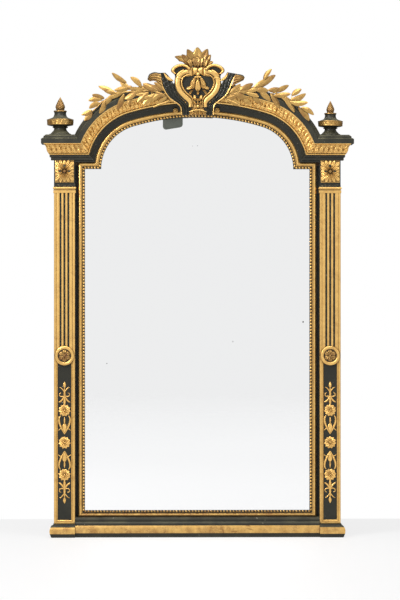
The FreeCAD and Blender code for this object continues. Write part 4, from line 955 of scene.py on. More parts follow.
# Ring of the roundels: how far inside its edge, and shares of its depth
ROUNDEL_RING = [(0, 0), (0, 0.6), (0.0012, 0.8), (0.003, 0.93), (0.006, 1), (0.0105, 0.95), (0.0122, 0.7),
                (0.0128, 0.4), (0.0128, 0.36)]

SQUARE_PLATE = 0.0045
SQUARE_EDGE = 0.0012
SQUARE_LEAVES = 16
SQUARE_STUD = [(0.0082, 0), (0.0082, 0.003), (0.006, 0.0048), (0.0035, 0.0044), (0.0015, 0.0052)]

ASTRAGAL_TRIM = 0.0035
ASTRAGAL_STEPS = 10


class MIRROR_OT_pilasters(bpy.types.Operator):
    """Make the flutes, borders, foliage, roundels, leaf squares and neckings of the pilasters."""
    bl_idname = "mirror.pilasters"
    bl_label = "Pilasters"

    def execute(self, context):
        for name, way in SIDES:
            self.flutes(name)
            self.border(name)
            self.foliage(name)
            self.roundel(name)
            self.leaf_square(name)
            self.necking(name, way)
        dress("black", "pilaster_core_left", "pilaster_core_right")
        return {"FINISHED"}

    def flutes(self, name):
        low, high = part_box("fluted_panel_" + name)
        middle = back_middle("fluted_panel_" + name).x
        half = (high.x - low.x) / 2
        section = [(-half, high.y, 0), (-half, low.y + PANEL_EASING, 0), (-half + PANEL_EASING, low.y, 0)]
        for place, reach, coat in FLUTES:
            depth = min(FLUTE_DEPTH, reach * 1.15)
            section.append((place - reach - FLUTE_EASING, low.y, 0))
            for step in range(9):
                angle = math.pi * step / 8
                section.append((place - reach * math.cos(angle), low.y + 0.0003 + depth * math.sin(angle),
                                coat if step else 0))
            section.append((place + reach + FLUTE_EASING, low.y, 0))
        section += [(half - PANEL_EASING, low.y, 0), (half, low.y + PANEL_EASING, 0), (half, high.y, 0)]
        rows = [[Vector((middle + across, depth, height)) for across, depth, _ in section]
                for height in (low.z, low.z + 0.2, high.z - 0.2, high.z)]
        shape = Shape()
        shape.grid(rows, finish_of=lambda number, place: section[(place + 1) % len(section)][2])
        shape.piece("reeded_panel_" + name, "fluted_panel_" + name, "gilding", "gilding", "black", sharp=35)

    def border(self, name):
        low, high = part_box("panel_border_" + name)
        front = low.y
        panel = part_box("panel_ornament_" + name)[1].y
        profile = [(0, high.y), (0, front + 0.0012)]
        profile += [(BORDER_WIDTH * share, front + behind) for share, behind in BORDER_PROFILE]
        profile.append((BORDER_WIDTH, panel))
        rows = []
        for inset, depth in profile:
            foot = low.z + inset
            top = high.z - inset * BORDER_TOP_SHARE
            left, right = low.x + inset, high.x - inset
            rows.append([Vector((across, depth, up))
                         for across, up in ((left, foot), (right, foot), (right, top), (left, top))])
        shape = Shape()
        shape.grid(rows, ring=True)
        shape.piece("border_moulding_" + name, "panel_border_" + name, "gilding", "gilding", sharp=30)

    def foliage(self, name):
        centre = back_middle("panel_ornament_" + name) + FRONT * 0.0004
        shape = Shape()
        self.flower(shape, centre, 90)
        for way in (1, -1):
            self.vine(shape, centre, way)
        shape.piece("panel_foliage_" + name, "panel_ornament_" + name, "gilding", "fine gilding", sharp=50)

    def flower(self, shape, centre, start):
        rosette(shape, centre, 0.0238, 11, 0.0036, start=start, width=1.02, groove=0.65, button=0.13)

    def vine(self, shape, centre, way):
        """Half of a panel's foliage, from the middle flower out to the bud at its end."""

        def at(across, up):
            return centre + Vector((across, 0, up * way)) * STEP

        for side in (-1, 1):
            for places, radii in VINE_STEPS:
                stroke(shape, [at(across * side, up) for across, up in places],
                       [radius * VINE_THICKNESS for radius in radii], lift=0.9)
        stroke(shape, [at(0, up) for up in (38, 41, 45, 49, 52, 56)], [0.003, 0.0054, 0.004, 0.0046, 0.003, 0.0016],
               lift=0.8)
        leaf(shape, at(0, 54.4), at(0, 61), 0.0062, 0.0036, groove=0.4)
        leaf(shape, at(0, 9.4), at(0, 20), 0.0085, 0.0036, groove=0.3, belly=0.6)
        leaf(shape, at(0, 18), at(0, 26), 0.0036, 0.0034, groove=0.3)
        self.flower(shape, at(0, FLOWER_STEPS), 90 * way)

    def roundel(self, name):
        low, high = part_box("roundel_" + name)
        centre = back_middle("roundel_" + name)
        deep = high.y - low.y
        outer = (high.z - low.z) / 2 * ROUNDEL_SHARE
        dish = outer - ROUNDEL_RING[-1][0]
        floor = centre + FRONT * deep * 0.34
        shape = Shape()
        turned(shape, centre, [(outer - inset, deep * share) for inset, share in ROUNDEL_RING], 72, FRONT)
        shape.finishes[-1] = 1
        rosette(shape, floor, dish * 0.97, 6, deep * 0.56, 2, 90, 2, 0.14, 0.84, 0.62, 0.72, 0.2)
        rosette(shape, floor + FRONT * deep * 0.2, dish * 0.5, 4, deep * 0.3, 2, 45, 0, 0, 0.66, 0.5, 0.6, 0.24)
        shape.piece("flower_roundel_" + name, "roundel_" + name, "gilding", "gilding", "black", "darker rubbed gilding",
                    sharp=50)

    def leaf_square(self, name):
        low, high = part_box("capital_patera_" + name)
        centre = back_middle("capital_patera_" + name)
        wide = (high.x - low.x) / 2
        tall = (high.z - low.z) / 2
        rows = [[centre + Vector((across * (wide - inset), -height, up * (tall - inset)))
                 for across, up in ((-1, -1), (1, -1), (1, 1), (-1, 1))]
                for inset, height in ((0, 0), (0, SQUARE_PLATE), (SQUARE_EDGE, SQUARE_PLATE + SQUARE_EDGE * 0.6),
                                      (SQUARE_EDGE * 3, SQUARE_PLATE))]
        shape = Shape()
        shape.grid(rows, finish_of=lambda number, place: 1 if number > 1 else 0)
        shape.finishes[-1] = 1
        base = centre + FRONT * (SQUARE_PLATE - 0.0004)
        for number, angle in enumerate(around(SQUARE_LEAVES)):
            out = Vector((math.cos(angle), 0, math.sin(angle)))
            reach = min((wide - 0.0006) / max(abs(out.x), 0.001), (tall - 0.0006) / max(abs(out.z), 0.001))
            start = base + FRONT * (0.0026 if number % 2 else 0.0004)
            leaf(shape, start + out * 0.008, start + out * reach, 0.0082 if number % 4 == 2 else 0.0066, 0.0056,
                 groove=0.5, belly=0.78, rows=18, cols=10, blunt=0.6)
            # Three black discs among the leaves are the dark eyes of the carving: painted shade.
            if number in (0, 4, 8):
                turned(shape, base + out * reach * 0.5 + FRONT * 0.007, [(0.0046, 0), (0.004, 0.0012)], 14, FRONT, 2)
        turned(shape, base + FRONT * 0.003, SQUARE_STUD, 4, FRONT, 1)
        shape.piece("leaf_square_" + name, "capital_patera_" + name, "gilding", "gilding", "dark gilding", "black",
                    sharp=50)

    def necking(self, name, way):
        """An astragal over a fascia, returned along both sides of the pilaster."""
        low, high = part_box("necking_" + name)
        panel_low, panel_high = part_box("fluted_panel_" + name)
        tall = high.z - low.z
        base = panel_low.y + 0.001
        bulge = base - low.y
        fascia = base - bulge * 0.3
        # Heights, depths, and how far the sides swell out
        profile = [(0, panel_high.y, 0), (0, fascia, 0.6), (tall * 0.3, fascia, 0.6), (tall * 0.32, base, 0),
                   (tall * 0.42, base, 0)]
        for step in range(ASTRAGAL_STEPS + 1):
            angle = math.pi * step / ASTRAGAL_STEPS
            profile.append((tall * (0.42 + 0.15 * (1 - math.cos(angle))), base - bulge * math.sin(angle),
                            math.sin(angle)))
        gilt_rows = len(profile) - 1
        profile += [(tall * 0.74, base + 0.004, 0), (tall, base + 0.004, 0), (tall, panel_high.y, 0)]
        ends = (high.y, panel_high.y + 0.03)[::-way]
        rows = []
        for up, depth, swell in profile:
            trim = ASTRAGAL_TRIM * (1 - swell)
            left, right = low.x + trim, high.x - trim
            rows.append([Vector((across, away, low.z + up))
                         for across, away in ((left, ends[0]), (left, depth), (right, depth), (right, ends[1]))])
        shape = Shape()
        shape.grid(rows, closed=False, finish_of=lambda number, place: 1 if number >= gilt_rows else 0)
        foot, top = rows[0], rows[-1]
        for corners in (foot, top, [foot[0], foot[3], top[3], top[0]],
                        [row[0] for row in rows], [row[3] for row in rows]):
            shape.face(corners)
        shape.piece("astragal_" + name, "necking_" + name, "gilding", "gilding", "black")


# Base

TORUS_INSET = 0.0038
TORUS_BOW = -0.12
FOOT_TORUS = (0.008, 0.039)
FOOT_GILT_FROM = 0.0145
RAIL_TORUS = (0.013, 0.045)
RAIL_GILT_FROM = 0.0165
RAIL_STEP = 0.009


def torus(levels, front, gilt_from):
    """The round moulding of the base, gilt from a height: heights, depths and finishes."""
    return [(up, depth, 1 if up > gilt_from else 0)
            for depth, up in arc((front, levels[0]), (front, levels[1]), TORUS_BOW, 10)]


def plain(places):
    """Heights, depths and the first finish, from depths and heights."""
    return [(up, depth, 0) for depth, up in places]


class MIRROR_OT_base(bpy.types.Operator):
    """Make the feet and the base rail with their gilt round mouldings."""
    bl_idname = "mirror.base"
    bl_label = "Base"

    def execute(self, context):
        for name, way in SIDES:
            self.foot(name, way)
        self.rail()
        return {"FINISHED"}

    def foot(self, name, way):
        low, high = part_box("foot_" + name)
        inner, outer = (low.x, high.x) if way > 0 else (-high.x, -low.x)
        neck = (TORUS_INSET + 0.001, FOOT_TORUS[1] + 0.0005)
        # Heights, insets and finishes
        places = [(0, TORUS_INSET + 0.004, 0), (0.003, TORUS_INSET + 0.0014, 0), (0.0075, TORUS_INSET, 0),
                  (FOOT_TORUS[0], TORUS_INSET, 0), *torus(FOOT_TORUS, TORUS_INSET, FOOT_GILT_FROM),
                  *plain([neck, *arc(neck, (0.0135, high.z - 0.001), 0.2, 8), (0.0138, high.z)])]
        rows = []
        for up, inset, _ in places:
            front, side = low.y + inset, outer - inset
            rows.append([Vector((across * way, depth, up))
                         for across, depth in ((inner, high.y), (inner, front), (side, front), (side, high.y))])
        shape = Shape()
        shape.grid(rows, finish_of=lambda number, place: places[number + 1][2])
        shape.piece("base_block_" + name, "foot_" + name, "ebonised_wood", "black", "worn gilding", sharp=30)

    def rail(self):
        low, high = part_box("base_rail")
        front = low.y
        torus_front = front + TORUS_INSET
        neck = (torus_front + 0.002, RAIL_TORUS[1] + 0.0005)
        ledge = (front + RAIL_STEP + 0.007, 0.0592)
        top = front + 2 * RAIL_STEP + 0.001
        places = [*plain([(high.y, 0), (torus_front + 0.002, 0), (torus_front + 0.002, 0.0125),
                          (torus_front, RAIL_TORUS[0])]),
                  *torus(RAIL_TORUS, torus_front, RAIL_GILT_FROM),
                  *plain([neck, *arc(neck, (front + RAIL_STEP, 0.0575), TORUS_BOW, 5),
                          (front + RAIL_STEP + 0.001, 0.0585), ledge, *arc(ledge, (top, high.z - 0.002), -0.1, 5),
                          (top, high.z), (high.y, high.z)])]
        rows = [[Vector((across, depth, up)) for up, depth, _ in places]
                for across in (low.x, low.x * 0.5, 0, high.x * 0.5, high.x)]
        shape = Shape()
        shape.grid(rows, finish_of=lambda number, place: places[(place + 1) % len(places)][2])
        shape.piece("moulded_rail", "base_rail", "ebonised_wood", "dusty black", "worn gilding", sharp=30)


# Urns

URN_OUTLINE_SHARES = [
    (0.8, 0), (0.8, 0.035), (0.775, 0.05), (0.7, 0.06), (0.66, 0.085), (0.6, 0.12), (0.5, 0.18), (0.455, 0.235),
    (0.45, 0.27), (0.5, 0.29), (0.56, 0.3), (0.57, 0.315), (0.55, 0.335), (0.5, 0.35), (0.62, 0.365), (0.82, 0.385),
    (0.93, 0.4), (0.955, 0.415), (0.965, 0.43), (0.975, 0.5), (0.985, 0.56), (1, 0.61), (0.985, 0.63), (0.93, 0.64),
    (0.8, 0.665), (0.62, 0.7), (0.52, 0.735), (0.47, 0.78), (0.44, 0.84), (0.43, 0.9), (0.45, 0.93), (0.475, 0.945),
    (0.485, 0.965), (0.48, 0.985), (0.45, 1),
]
URN_BAND_SHARES = (0.43, 0.62)
URN_LIP_SHARE = 0.955
URN_RELIEF_SHARE = 0.055
URN_LEAVES = 14

FLAME_STEM_RADIUS = 0.0078
FLAME_STEM_HEIGHT = 0.006
FLAME_BELLY_SHARE = 0.3
FLAME_LEVELS = 30
FLAME_RELIEF_SHARE = 0.1


class MIRROR_OT_urns(bpy.types.Operator):
    """Make the turned urns and their carved flames."""
    bl_idname = "mirror.urns"
    bl_label = "Urns"

    def execute(self, context):
        for name, _ in SIDES:
            self.urn(name)
            self.flame(name)
        return {"FINISHED"}

    def urn(self, name):
        centre, radius, tall = standing("urn_" + name)
        radius -= FINE
        profile = halved([(radius * reach, tall * up) for reach, up in URN_OUTLINE_SHARES])
        ups = [up / tall for _, up in profile]
        foot, top = URN_BAND_SHARES

        def carving(angle, level):
            if not foot < ups[level] < top:
                return 0
            share = (ups[level] - foot) / (top - foot)
            height = leaf_relief(angle * radius, share, math.tau * radius / URN_LEAVES)
            return radius * URN_RELIEF_SHARE * (height - 1)

        def coat(number, place):
            up = (ups[number] + ups[number + 1]) / 2
            if foot - 0.02 < up < top + 0.01:
                return 2
            return 1 if up > URN_LIP_SHARE else 0

        shape = Shape()
        turned(shape, centre, profile, 168, finish_of=coat, swell=carving)
        shape.piece("turned_urn_" + name, "urn_" + name, "ebonised_wood", "dusty black", "darker rubbed gilding",
                    "carved gilding", sharp=45)

    def flame(self, name):
        """A bud of overlapping scales that draws up to a point."""
        centre, radius, tall = standing("urn_flame_" + name)
        radius -= 0.001
        profile = [(FLAME_STEM_RADIUS, 0), (FLAME_STEM_RADIUS, FLAME_STEM_HEIGHT)]
        for number in range(FLAME_LEVELS + 1):
            share = number / FLAME_LEVELS
            reach = 0.74 + 0.26 * math.sin(math.pi / 2 * min(1, share / FLAME_BELLY_SHARE))
            if share > FLAME_BELLY_SHARE:
                reach = max(0.02, 1 - ((share - FLAME_BELLY_SHARE) / (1 - FLAME_BELLY_SHARE)) ** 1.15)
            profile.append((radius * reach, FLAME_STEM_HEIGHT + (tall - FLAME_STEM_HEIGHT) * share))

        def scales(angle, level):
            if level < 3:
                return 0
            share = (level - 2) / FLAME_LEVELS
            turn = angle * 8 / math.tau
            ridge = min(math.sin(math.pi * (turn + share * 6)) ** 2, math.sin(math.pi * (turn - share * 6)) ** 2)
            return radius * FLAME_RELIEF_SHARE * (ridge ** 0.5 * 1.6 - 1) * min(1, 3 * (1 - share))

        shape = Shape()
        turned(shape, centre, profile, 80, swell=scales)
        shape.piece("carved_flame_" + name, "urn_flame_" + name, "gilding", "dark gilding", sharp=60)


# Crest

CROSS_PIXELS = 197.6
PLATE_PIXELS = [(197.6, 68), (190, 67.4), (182, 66.2), (175.6, 69), (173.6, 73.4), (175, 77.4), (174.2, 84),
                (175.8, 91.6), (180.6, 98.4), (186.6, 104), (188.6, 108), (188.6, 114.6), (197.6, 115)]
CHANNEL_PIXELS = ([(186.6, 70.6), (181.4, 72.2), (177.6, 75.4), (175.2, 80.4), (175.1, 86.4), (177.4, 92.6),
                   (182.4, 98.4), (187.2, 102.6), (188.4, 105.4), (188.2, 108)],
                  [(190.4, 76.8), (187, 77), (184.6, 78.2), (182.7, 80.8), (182.4, 84.8), (183.8, 89),
                   (187, 93.4), (190.8, 96.4), (193.4, 100.6), (193, 108)])
BROW_PIXELS = ([(197.6, 69.2), (194, 68.4), (190.2, 69), (186.2, 71)],
               [(197.6, 74.6), (194.4, 75.8), (190.4, 77), (185.6, 77.6)])
LIP_PIXELS = ([(174.2, 75.4), (171, 72.4), (172, 69), (176.2, 66), (181.6, 64.9), (187, 66.2), (190.6, 69.4)],
              [(176.6, 74.6), (174.6, 72.6), (175, 70.6), (178, 68.6), (182, 67.8), (185.8, 69), (188.4, 71.6)])
# Curls at the shoulders of the cartouche: places, radius, and share of its depth in front
SHOULDER_PIXELS = [([(176.8, 77.2), (179.4, 74.2), (183.8, 71.4)], 0.0056, 0.46),
                   ([(178.2, 79), (180.4, 76.6), (185, 74.6)], 0.0036, 0.4),
                   ([(175.4, 79.8), (178.8, 79), (182.6, 79.8)], 0.0022, 0.62)]
SKIRT_PIXELS = ([(188.4, 115.4), (192.6, 108.4)], [(206.8, 115.4), (202.6, 108.4)])
THROAT_PIXELS = ([(192.4, 103.6), (192.8, 106), (192.4, 109)], [(202.8, 103.6), (202.4, 106), (202.8, 109)])
# Rope over the skirt: places, and share of the depth in front
ROPE_PIXELS = [(188.6, 113, 0.3), (192.6, 111.4, 0.4), (197.6, 110.8, 0.43), (202.6, 111.4, 0.4), (206.6, 113, 0.3)]

# Leaves: foot, tip, half width in steps, bend, and share of the depth in front
PETALS_PIXELS = [
    ((194.4, 83.2), (186.2, 90.2), 1.9, -0.14, 0.3), ((200.8, 83), (208.6, 90), 1.9, 0.14, 0.3),
    ((196.4, 77.2), (192.2, 90), 2.7, 0.1, 0.34), ((198.8, 77.2), (203.4, 90), 2.7, -0.1, 0.34),
    ((197.5, 78), (197.6, 92.6), 3.1, 0, 0.42),
    ((193.6, 90.8), (189.4, 95.8), 1, 0.1, 0.5), ((201.6, 90.6), (206.2, 95.4), 1.1, -0.1, 0.5),
    ((197.6, 90.4), (197.6, 96), 1.2, 0, 0.4),
]
HUSK_PIXELS = [
    ((197.4, 102.6), (193.8, 96), 1.6, -0.1, 0.36), ((197.8, 102.6), (201.4, 96), 1.6, 0.1, 0.36),
    ((197.4, 106.6), (193.8, 101.4), 1.1, -0.1, 0.3), ((197.8, 106.6), (201.2, 101.4), 1.1, 0.1, 0.3),
]
PLUME_PIXELS = [
    ((190.6, 69.4), (174.4, 57.6), 3.9, 0.16, 0.0), ((192.6, 69.4), (181.6, 55.4), 3.6, 0.05, 0.06),
    ((204.6, 69.4), (213, 62.6), 3.2, -0.16, 0.0), ((203.6, 69.2), (210.6, 55.6), 3.8, -0.1, 0.06),
    ((197.6, 71), (197.6, 53), 7, 0, 0.0),
    ((194.4, 69.4), (187, 50.2), 4.7, 0.06, 0.12), ((201.4, 69.4), (207.4, 49.8), 4.8, -0.06, 0.12),
    ((197.8, 69.4), (197.2, 48.2), 5.9, 0, 0.2),
    ((191.6, 69.4), (187.6, 60), 3.2, 0.08, 0.32), ((204, 69.4), (207, 60), 3.2, -0.08, 0.32),
    ((194.6, 69.4), (193.4, 58.4), 3.2, 0.08, 0.38), ((200.8, 69.4), (202, 58.4), 3.2, -0.08, 0.38),
    ((197.6, 69.4), (197.4, 57), 3.4, 0, 0.44),
]
# A roll beneath the plume, gilt dark as a painted shadow under the plume: places
SHADOW_COLLAR_PIXELS = [(186, 67.4), (192, 69), (198, 69.3), (204, 69), (210, 67.2)]

# Ribbons: outer and inner edge, edge and fold of the curl at the top, and the gilt accent on it
RIBBON_PIXELS = {
    "left": ([(156.4, 74), (159.2, 77.6), (161, 82.4), (162.8, 88), (165.8, 94), (170.4, 99.8), (176, 103.6),
              (180.4, 107.6), (181.6, 115.8)],
             [(165.4, 73.8), (169, 77.6), (172, 82), (173.6, 86.8), (176, 92.4), (180, 98.4), (185, 103.4),
              (188.6, 108), (188.8, 115.6)]),
    "right": ([(236.6, 74.8), (233.4, 79), (231, 85), (228.6, 91), (224.6, 97), (218.8, 101.6), (213.8, 106.4),
               (213, 115.8)],
              [(227, 73.2), (224, 78.4), (221.6, 84.4), (219.4, 91), (215.2, 97.8), (210, 103.4), (206.8, 108.4),
               (206.4, 115.6)]),
}
CURL_PIXELS = {
    "left": ([(160.6, 74.8), (154.6, 73.8), (149.6, 75.8), (147.6, 80.6)],
             [(163, 88), (158.8, 84.4), (154.2, 81.8), (149.8, 82.4)]),
    "right": ([(235, 75.4), (239.4, 75.8), (242.6, 76.8), (244.2, 78.8)],
              [(231.4, 88.4), (234.6, 85.6), (239, 83.2), (243.2, 81)]),
}
ACCENT_PIXELS = {"left": ((173.6, 82.2), (163.4, 73.2), 1.5, -0.12), "right": ((219.4, 82.2), (228, 73), 1.4, 0.12)}

# Branches: stem, tail, and leaves from foot to tip
STEM_PIXELS = {
    "left": [(176, 103), (168, 97.4), (160, 94), (151, 91.6), (141, 92), (124, 93), (113.6, 96.2), (104.8, 101.2),
             (92.4, 112.4)],
    "right": [(217, 102), (226, 97), (236, 93.6), (247, 91.6), (262, 90), (275, 93.5), (291, 101), (300, 109)],
}
TAIL_PIXELS = {
    "left": [(170.4, 101), (165, 103.4), (159, 105.4), (153.2, 107.8)],
    "right": [(224.4, 99), (230, 101.6), (235.4, 104), (240.4, 107)],
}
LEAF_PIXELS = {
    "left": [
        ((124, 93), (108, 99.5)), ((124, 95.7), (117.6, 110)), ((105, 102), (99.8, 114)),
        ((91.5, 111), (82, 115.5)), ((91.5, 111.7), (85, 121)), ((99.8, 104), (89.6, 109)),
        ((101.7, 100.8), (89, 101.5)), ((104, 99), (92.8, 95.7)), ((113, 95), (103.6, 106)),
        ((113, 92.5), (99, 87.4)), ((116, 94), (104.5, 91.5)), ((126, 83), (112.5, 74)), ((130, 90), (120.4, 82)),
        ((131, 87.4), (115, 91)), ((136, 93), (125, 100)), ((141, 87.4), (130.8, 78.2)), ((134, 95), (128, 107)),
        ((143, 91), (131.6, 97.6)), ((143, 90), (129, 88.6)), ((148, 93.6), (137.6, 103)),
        ((152, 90.6), (138, 88.4)), ((154, 95), (143.4, 105)), ((157, 91), (143.2, 84.8)),
        ((152, 97.6), (139, 99.6)), ((161, 94.6), (150, 102)), ((161, 91.6), (149, 86.4)),
        ((167, 97.6), (156.6, 105)), ((166, 92.4), (154.4, 83.6)), ((169, 98.4), (156, 94)),
        ((146, 95), (135, 94.6)),
    ],
    "right": [
        ((274, 96), (290, 94.4)), ((271, 95), (279, 109.4)), ((285, 101.4), (293.7, 112.6)),
        ((301.4, 108.4), (313, 115.4)), ((298.6, 109), (308.4, 121)), ((290, 102), (307, 103)),
        ((291, 100), (305, 94.4)), ((291.6, 96), (300.7, 90)), ((281, 97), (291.6, 104.4)),
        ((275.4, 92.3), (288, 86)), ((268, 91), (281, 90)), ((263.5, 80.4), (271, 70)), ((260, 93), (270, 101.4)),
        ((261, 87.4), (274.7, 76)), ((256, 91), (268, 91.6)), ((254, 88), (264, 80.4)),
        ((252, 93.6), (260.4, 104)), ((247, 91.4), (260.6, 87)), ((246, 94), (258, 97.6)),
        ((240, 91), (252.4, 84.6)), ((240, 95.4), (250.4, 105)), ((236, 93.4), (248, 91.6)),
        ((234, 95), (246.6, 99.4)), ((229, 94), (240, 85)), ((228, 97.4), (239.4, 105.6)),
        ((225, 99), (237.4, 95.4)), ((232, 92), (243, 88)),
    ],
}
TWIG_FROM_PIXELS = 4
LEAF_LAYERS = 4
LEAF_SEED = 7


def mirrored(pixels, way):
    """Places on the front view, or for -1 their mirror image about the middle of the cartouche."""
    return [(CROSS_PIXELS + (across - CROSS_PIXELS) * way, up) for across, up in pixels]


def band(shape, edges, depth, height_at, cols, way=1):
    """A carved band between two edges on the front view, or its mirror image."""
    ribbed_band(shape, *(pixel_run(mirrored(edge, way), depth) for edge in edges), height_at, cols=cols)


def fan(shape, leaves, rear, deep, rise, **carving):
    """Carved leaves from a table of leaves."""
    for foot, tip, half, bend, lift in leaves:
        depth = rear - deep * lift
        leaf(shape, spot(*foot, depth), spot(*tip, depth), half * STEP, rise * deep, bend=bend, **carving)


class MIRROR_OT_crest(bpy.types.Operator):
    """Make the cartouche, the bellflower, the plume, the ribbons and the branches."""
    bl_idname = "mirror.crest"
    bl_label = "Crest"

    def execute(self, context):
        dress("black", "cartouche_shield")
        self.cartouche()
        self.bellflower()
        self.plume()
        for name, _ in SIDES:
            self.ribbon(name)
            self.branch(name)
        return {"FINISHED"}

    def cartouche(self):
        rear, deep = back_of("cartouche_frame")
        centre = spot(CROSS_PIXELS, 0, 0).x

        def dome(across, middle, half):
            return math.sqrt(max(0, 1 - ((across - middle) / half) ** 2))

        def channel(along, across):
            high = 0.28 + 0.46 * dome(across, -0.3, 0.74) + 0.6 * dome(across, 0.76, 0.26)
            return (deep - 0.003) * high * (1 - 0.28 * along)

        def lip(along, across):
            return deep * (0.28 + 0.54 * dome(across * 0.98, 0, 1))

        def brow(along, across):
            # Higher next to the middle, and split there and beside it
            block = 0.5 if along < 0.5 else 0.16
            split = 1 - 0.5 * math.exp(-(along / 0.05) ** 2) - 0.45 * math.exp(-((along - 0.5) / 0.06) ** 2)
            return deep * (0.3 + block * dome(across * 0.98, 0, 1)) * split

        shape = Shape()
        rim = pixel_run(PLATE_PIXELS, rear + 0.0004, 3)
        rim += [Vector((2 * centre - place.x, place.y, place.z)) for place in rim[-2:0:-1]]
        shape.grid([rim, [place + FRONT * 0.0026 for place in rim]], 1)
        for _, way in SIDES:
            band(shape, CHANNEL_PIXELS, rear - 0.002, channel, 36, way)
            band(shape, LIP_PIXELS, rear - deep * 0.1, lip, 14, way)
            band(shape, BROW_PIXELS, rear - deep * 0.06, brow, 16, way)
            for places, radius, lift in SHOULDER_PIXELS:
                stroke(shape, spots(mirrored(places, way), rear - deep * lift),
                       [radius * 0.8, radius, radius * 0.8], steps=4, sides=12)
        ribbed_band(shape, *(spots(edge, rear - 0.001) for edge in SKIRT_PIXELS),
                    lambda along, across: deep * (0.3 + 0.1 * math.cos(9 * math.pi * across) + 0.12 * along), cols=40)
        band(shape, THROAT_PIXELS, rear - 0.002, lambda along, across: deep * (0.3 - 0.1 * across * across), 16)
        stroke(shape, [spot(across, up, rear - deep * share) for across, up, share in ROPE_PIXELS],
               [0.0014, 0.0026, 0.003, 0.0026, 0.0014], lift=1.1, sides=12)
        shape.piece("cartouche_scrolls", "cartouche_frame", "gilding", "bright gilding", "black", sharp=45)

    def bellflower(self):
        rear, deep = back_of("bellflower")
        shape = Shape()
        fan(shape, PETALS_PIXELS, rear, deep, 0.42, groove=0.3, belly=0.76, rows=18, cols=12)
        knob = [(0.0035, 0), (0.0072, 0.003), (0.0084, 0.0068), (0.0066, 0.011), (0.0022, 0.0135)]
        turned(shape, spot(CROSS_PIXELS, 75.6, rear - deep * 0.2), knob, 20, FRONT)
        fan(shape, HUSK_PIXELS, rear, deep, 0.4, groove=0.3, belly=0.7, rows=14, cols=10)
        for places, radius in (([(194.2, 78.4), (200.8, 78.2)], 0.0024), ([(197.6, 99.6), (197.6, 105)], 0.0018)):
            stroke(shape, spots(places, rear - deep * 0.66), [radius, radius], lift=1.2)
        bud = [(0.0066, 0), (0.0062, 0.003), (0.0044, 0.0056), (0.0018, 0.0068)]
        turned(shape, spot(197.7, 107.2, rear - deep * 0.4), bud, 20, FRONT)
        shape.piece("bell_drop", "bellflower", "gilding", "bright gilding", sharp=50)

    def plume(self):
        rear, deep = back_of("plume")
        shape = Shape()
        # Rear and outer leaves take the dark gilding as painted shade, the tall middle leaf the lighter bold-carving
        # gilding as a painted highlight, and the front leaves the darker rubbed gilding. The roll beneath is a
        # painted shadow.
        for first, last, coat in ((0, 7, 1), (7, 8, 2), (8, 13, 0)):
            fan(shape, PLUME_PIXELS[first:last], rear, deep, 0.4, finish=coat, lobes=3, cut=0.22, curl=0.13,
                groove=0.55, belly=0.64, rows=26, cols=14, ribs=3)
        stroke(shape, pixel_run(SHADOW_COLLAR_PIXELS, rear - deep * 0.42, 1), [0.0028, 0.0045, 0.005, 0.0045, 0.0028], 1,
               lift=0.9, sides=10)
        shape.piece("acanthus_plume", "plume", "gilding", "darker rubbed gilding", "dark gilding", "carved gilding", sharp=50)

    def ribbon(self, name):
        rear, deep = back_of("ribbon_" + name)
        outer, inner = (pixel_run(edge, rear) for edge in RIBBON_PIXELS[name])

        def pleats(along, across):
            fold = abs(math.sin(math.pi * (1.5 * across + 1.1 * along)))
            cross_fold = abs(math.sin(math.pi * (9 * along + 0.8 * across)))
            return deep * (0.5 + 0.55 * fold + 0.36 * cross_fold * math.sin(math.pi * min(1, along * 1.4)))

        def curl(along, across):
            return deep * (0.9 + 0.5 * abs(math.sin(math.tau * across)) - 0.3 * along)

        shape = Shape()
        ribbed_band(shape, outer, inner, pleats, cols=26, bed=0.0003)
        stroke(shape, [place + FRONT * deep * 0.8 for place in outer[::3]], [0.002, 0.0024, 0.0026, 0.0024, 0.002], 1,
               steps=3)
        edge, fold = CURL_PIXELS[name]
        ribbed_band(shape, pixel_run(edge, rear), pixel_run(fold, rear), curl, 2, 20, 0.0003)
        stroke(shape, pixel_run(edge, rear - deep * 1.1, 1), [0.0012, 0.002, 0.0018, 0.0012])
        foot, tip, half, bend = ACCENT_PIXELS[name]
        leaf(shape, spot(*foot, rear - deep), spot(*tip, rear - deep * 0.8), half * STEP, deep * 0.7, 1, bend=bend,
             groove=0.3, belly=0.35, rows=14)
        shape.piece("pleated_ribbon_" + name, "ribbon_" + name, "ebonised_wood", "glossy black", "gilding",
                    "darker rubbed gilding", sharp=35)

    def branch(self, name):
        rear, room = back_of("branch_" + name)
        shape = Shape()
        rng = random.Random(LEAF_SEED)
        stems = STEM_PIXELS[name]
        stroke(shape, spots(stems, rear - 0.001), [0.003, 0.0038, 0.0036, 0.0033, 0.003, 0.0026, 0.002], lift=1.1)
        stroke(shape, spots(TAIL_PIXELS[name], rear - 0.002), [0.0024, 0.0042, 0.0044, 0.0036], lift=1.1)
        for number, (foot, tip) in enumerate(LEAF_PIXELS[name]):
            nearest = min(stems, key=lambda place: math.dist(place, foot))
            start, end = spots((foot, tip), rear - 0.0006)
            if math.dist(nearest, foot) > TWIG_FROM_PIXELS:
                hook = spot(*nearest, rear - 0.001)
                stroke(shape, [hook, hook.lerp(start, 0.5) + UP * 0.002, start], [0.0022, 0.0018, 0.0014])
            layer = number % LEAF_LAYERS * room * 0.22
            start += FRONT * layer
            end += FRONT * (layer + room * 0.15)
            along = end - start
            facing = (FRONT + along.cross(FRONT).normalized() * rng.uniform(-0.4, 0.4)).normalized()
            half = (0.0076 + along.length * 0.062) * rng.uniform(0.88, 1.12)
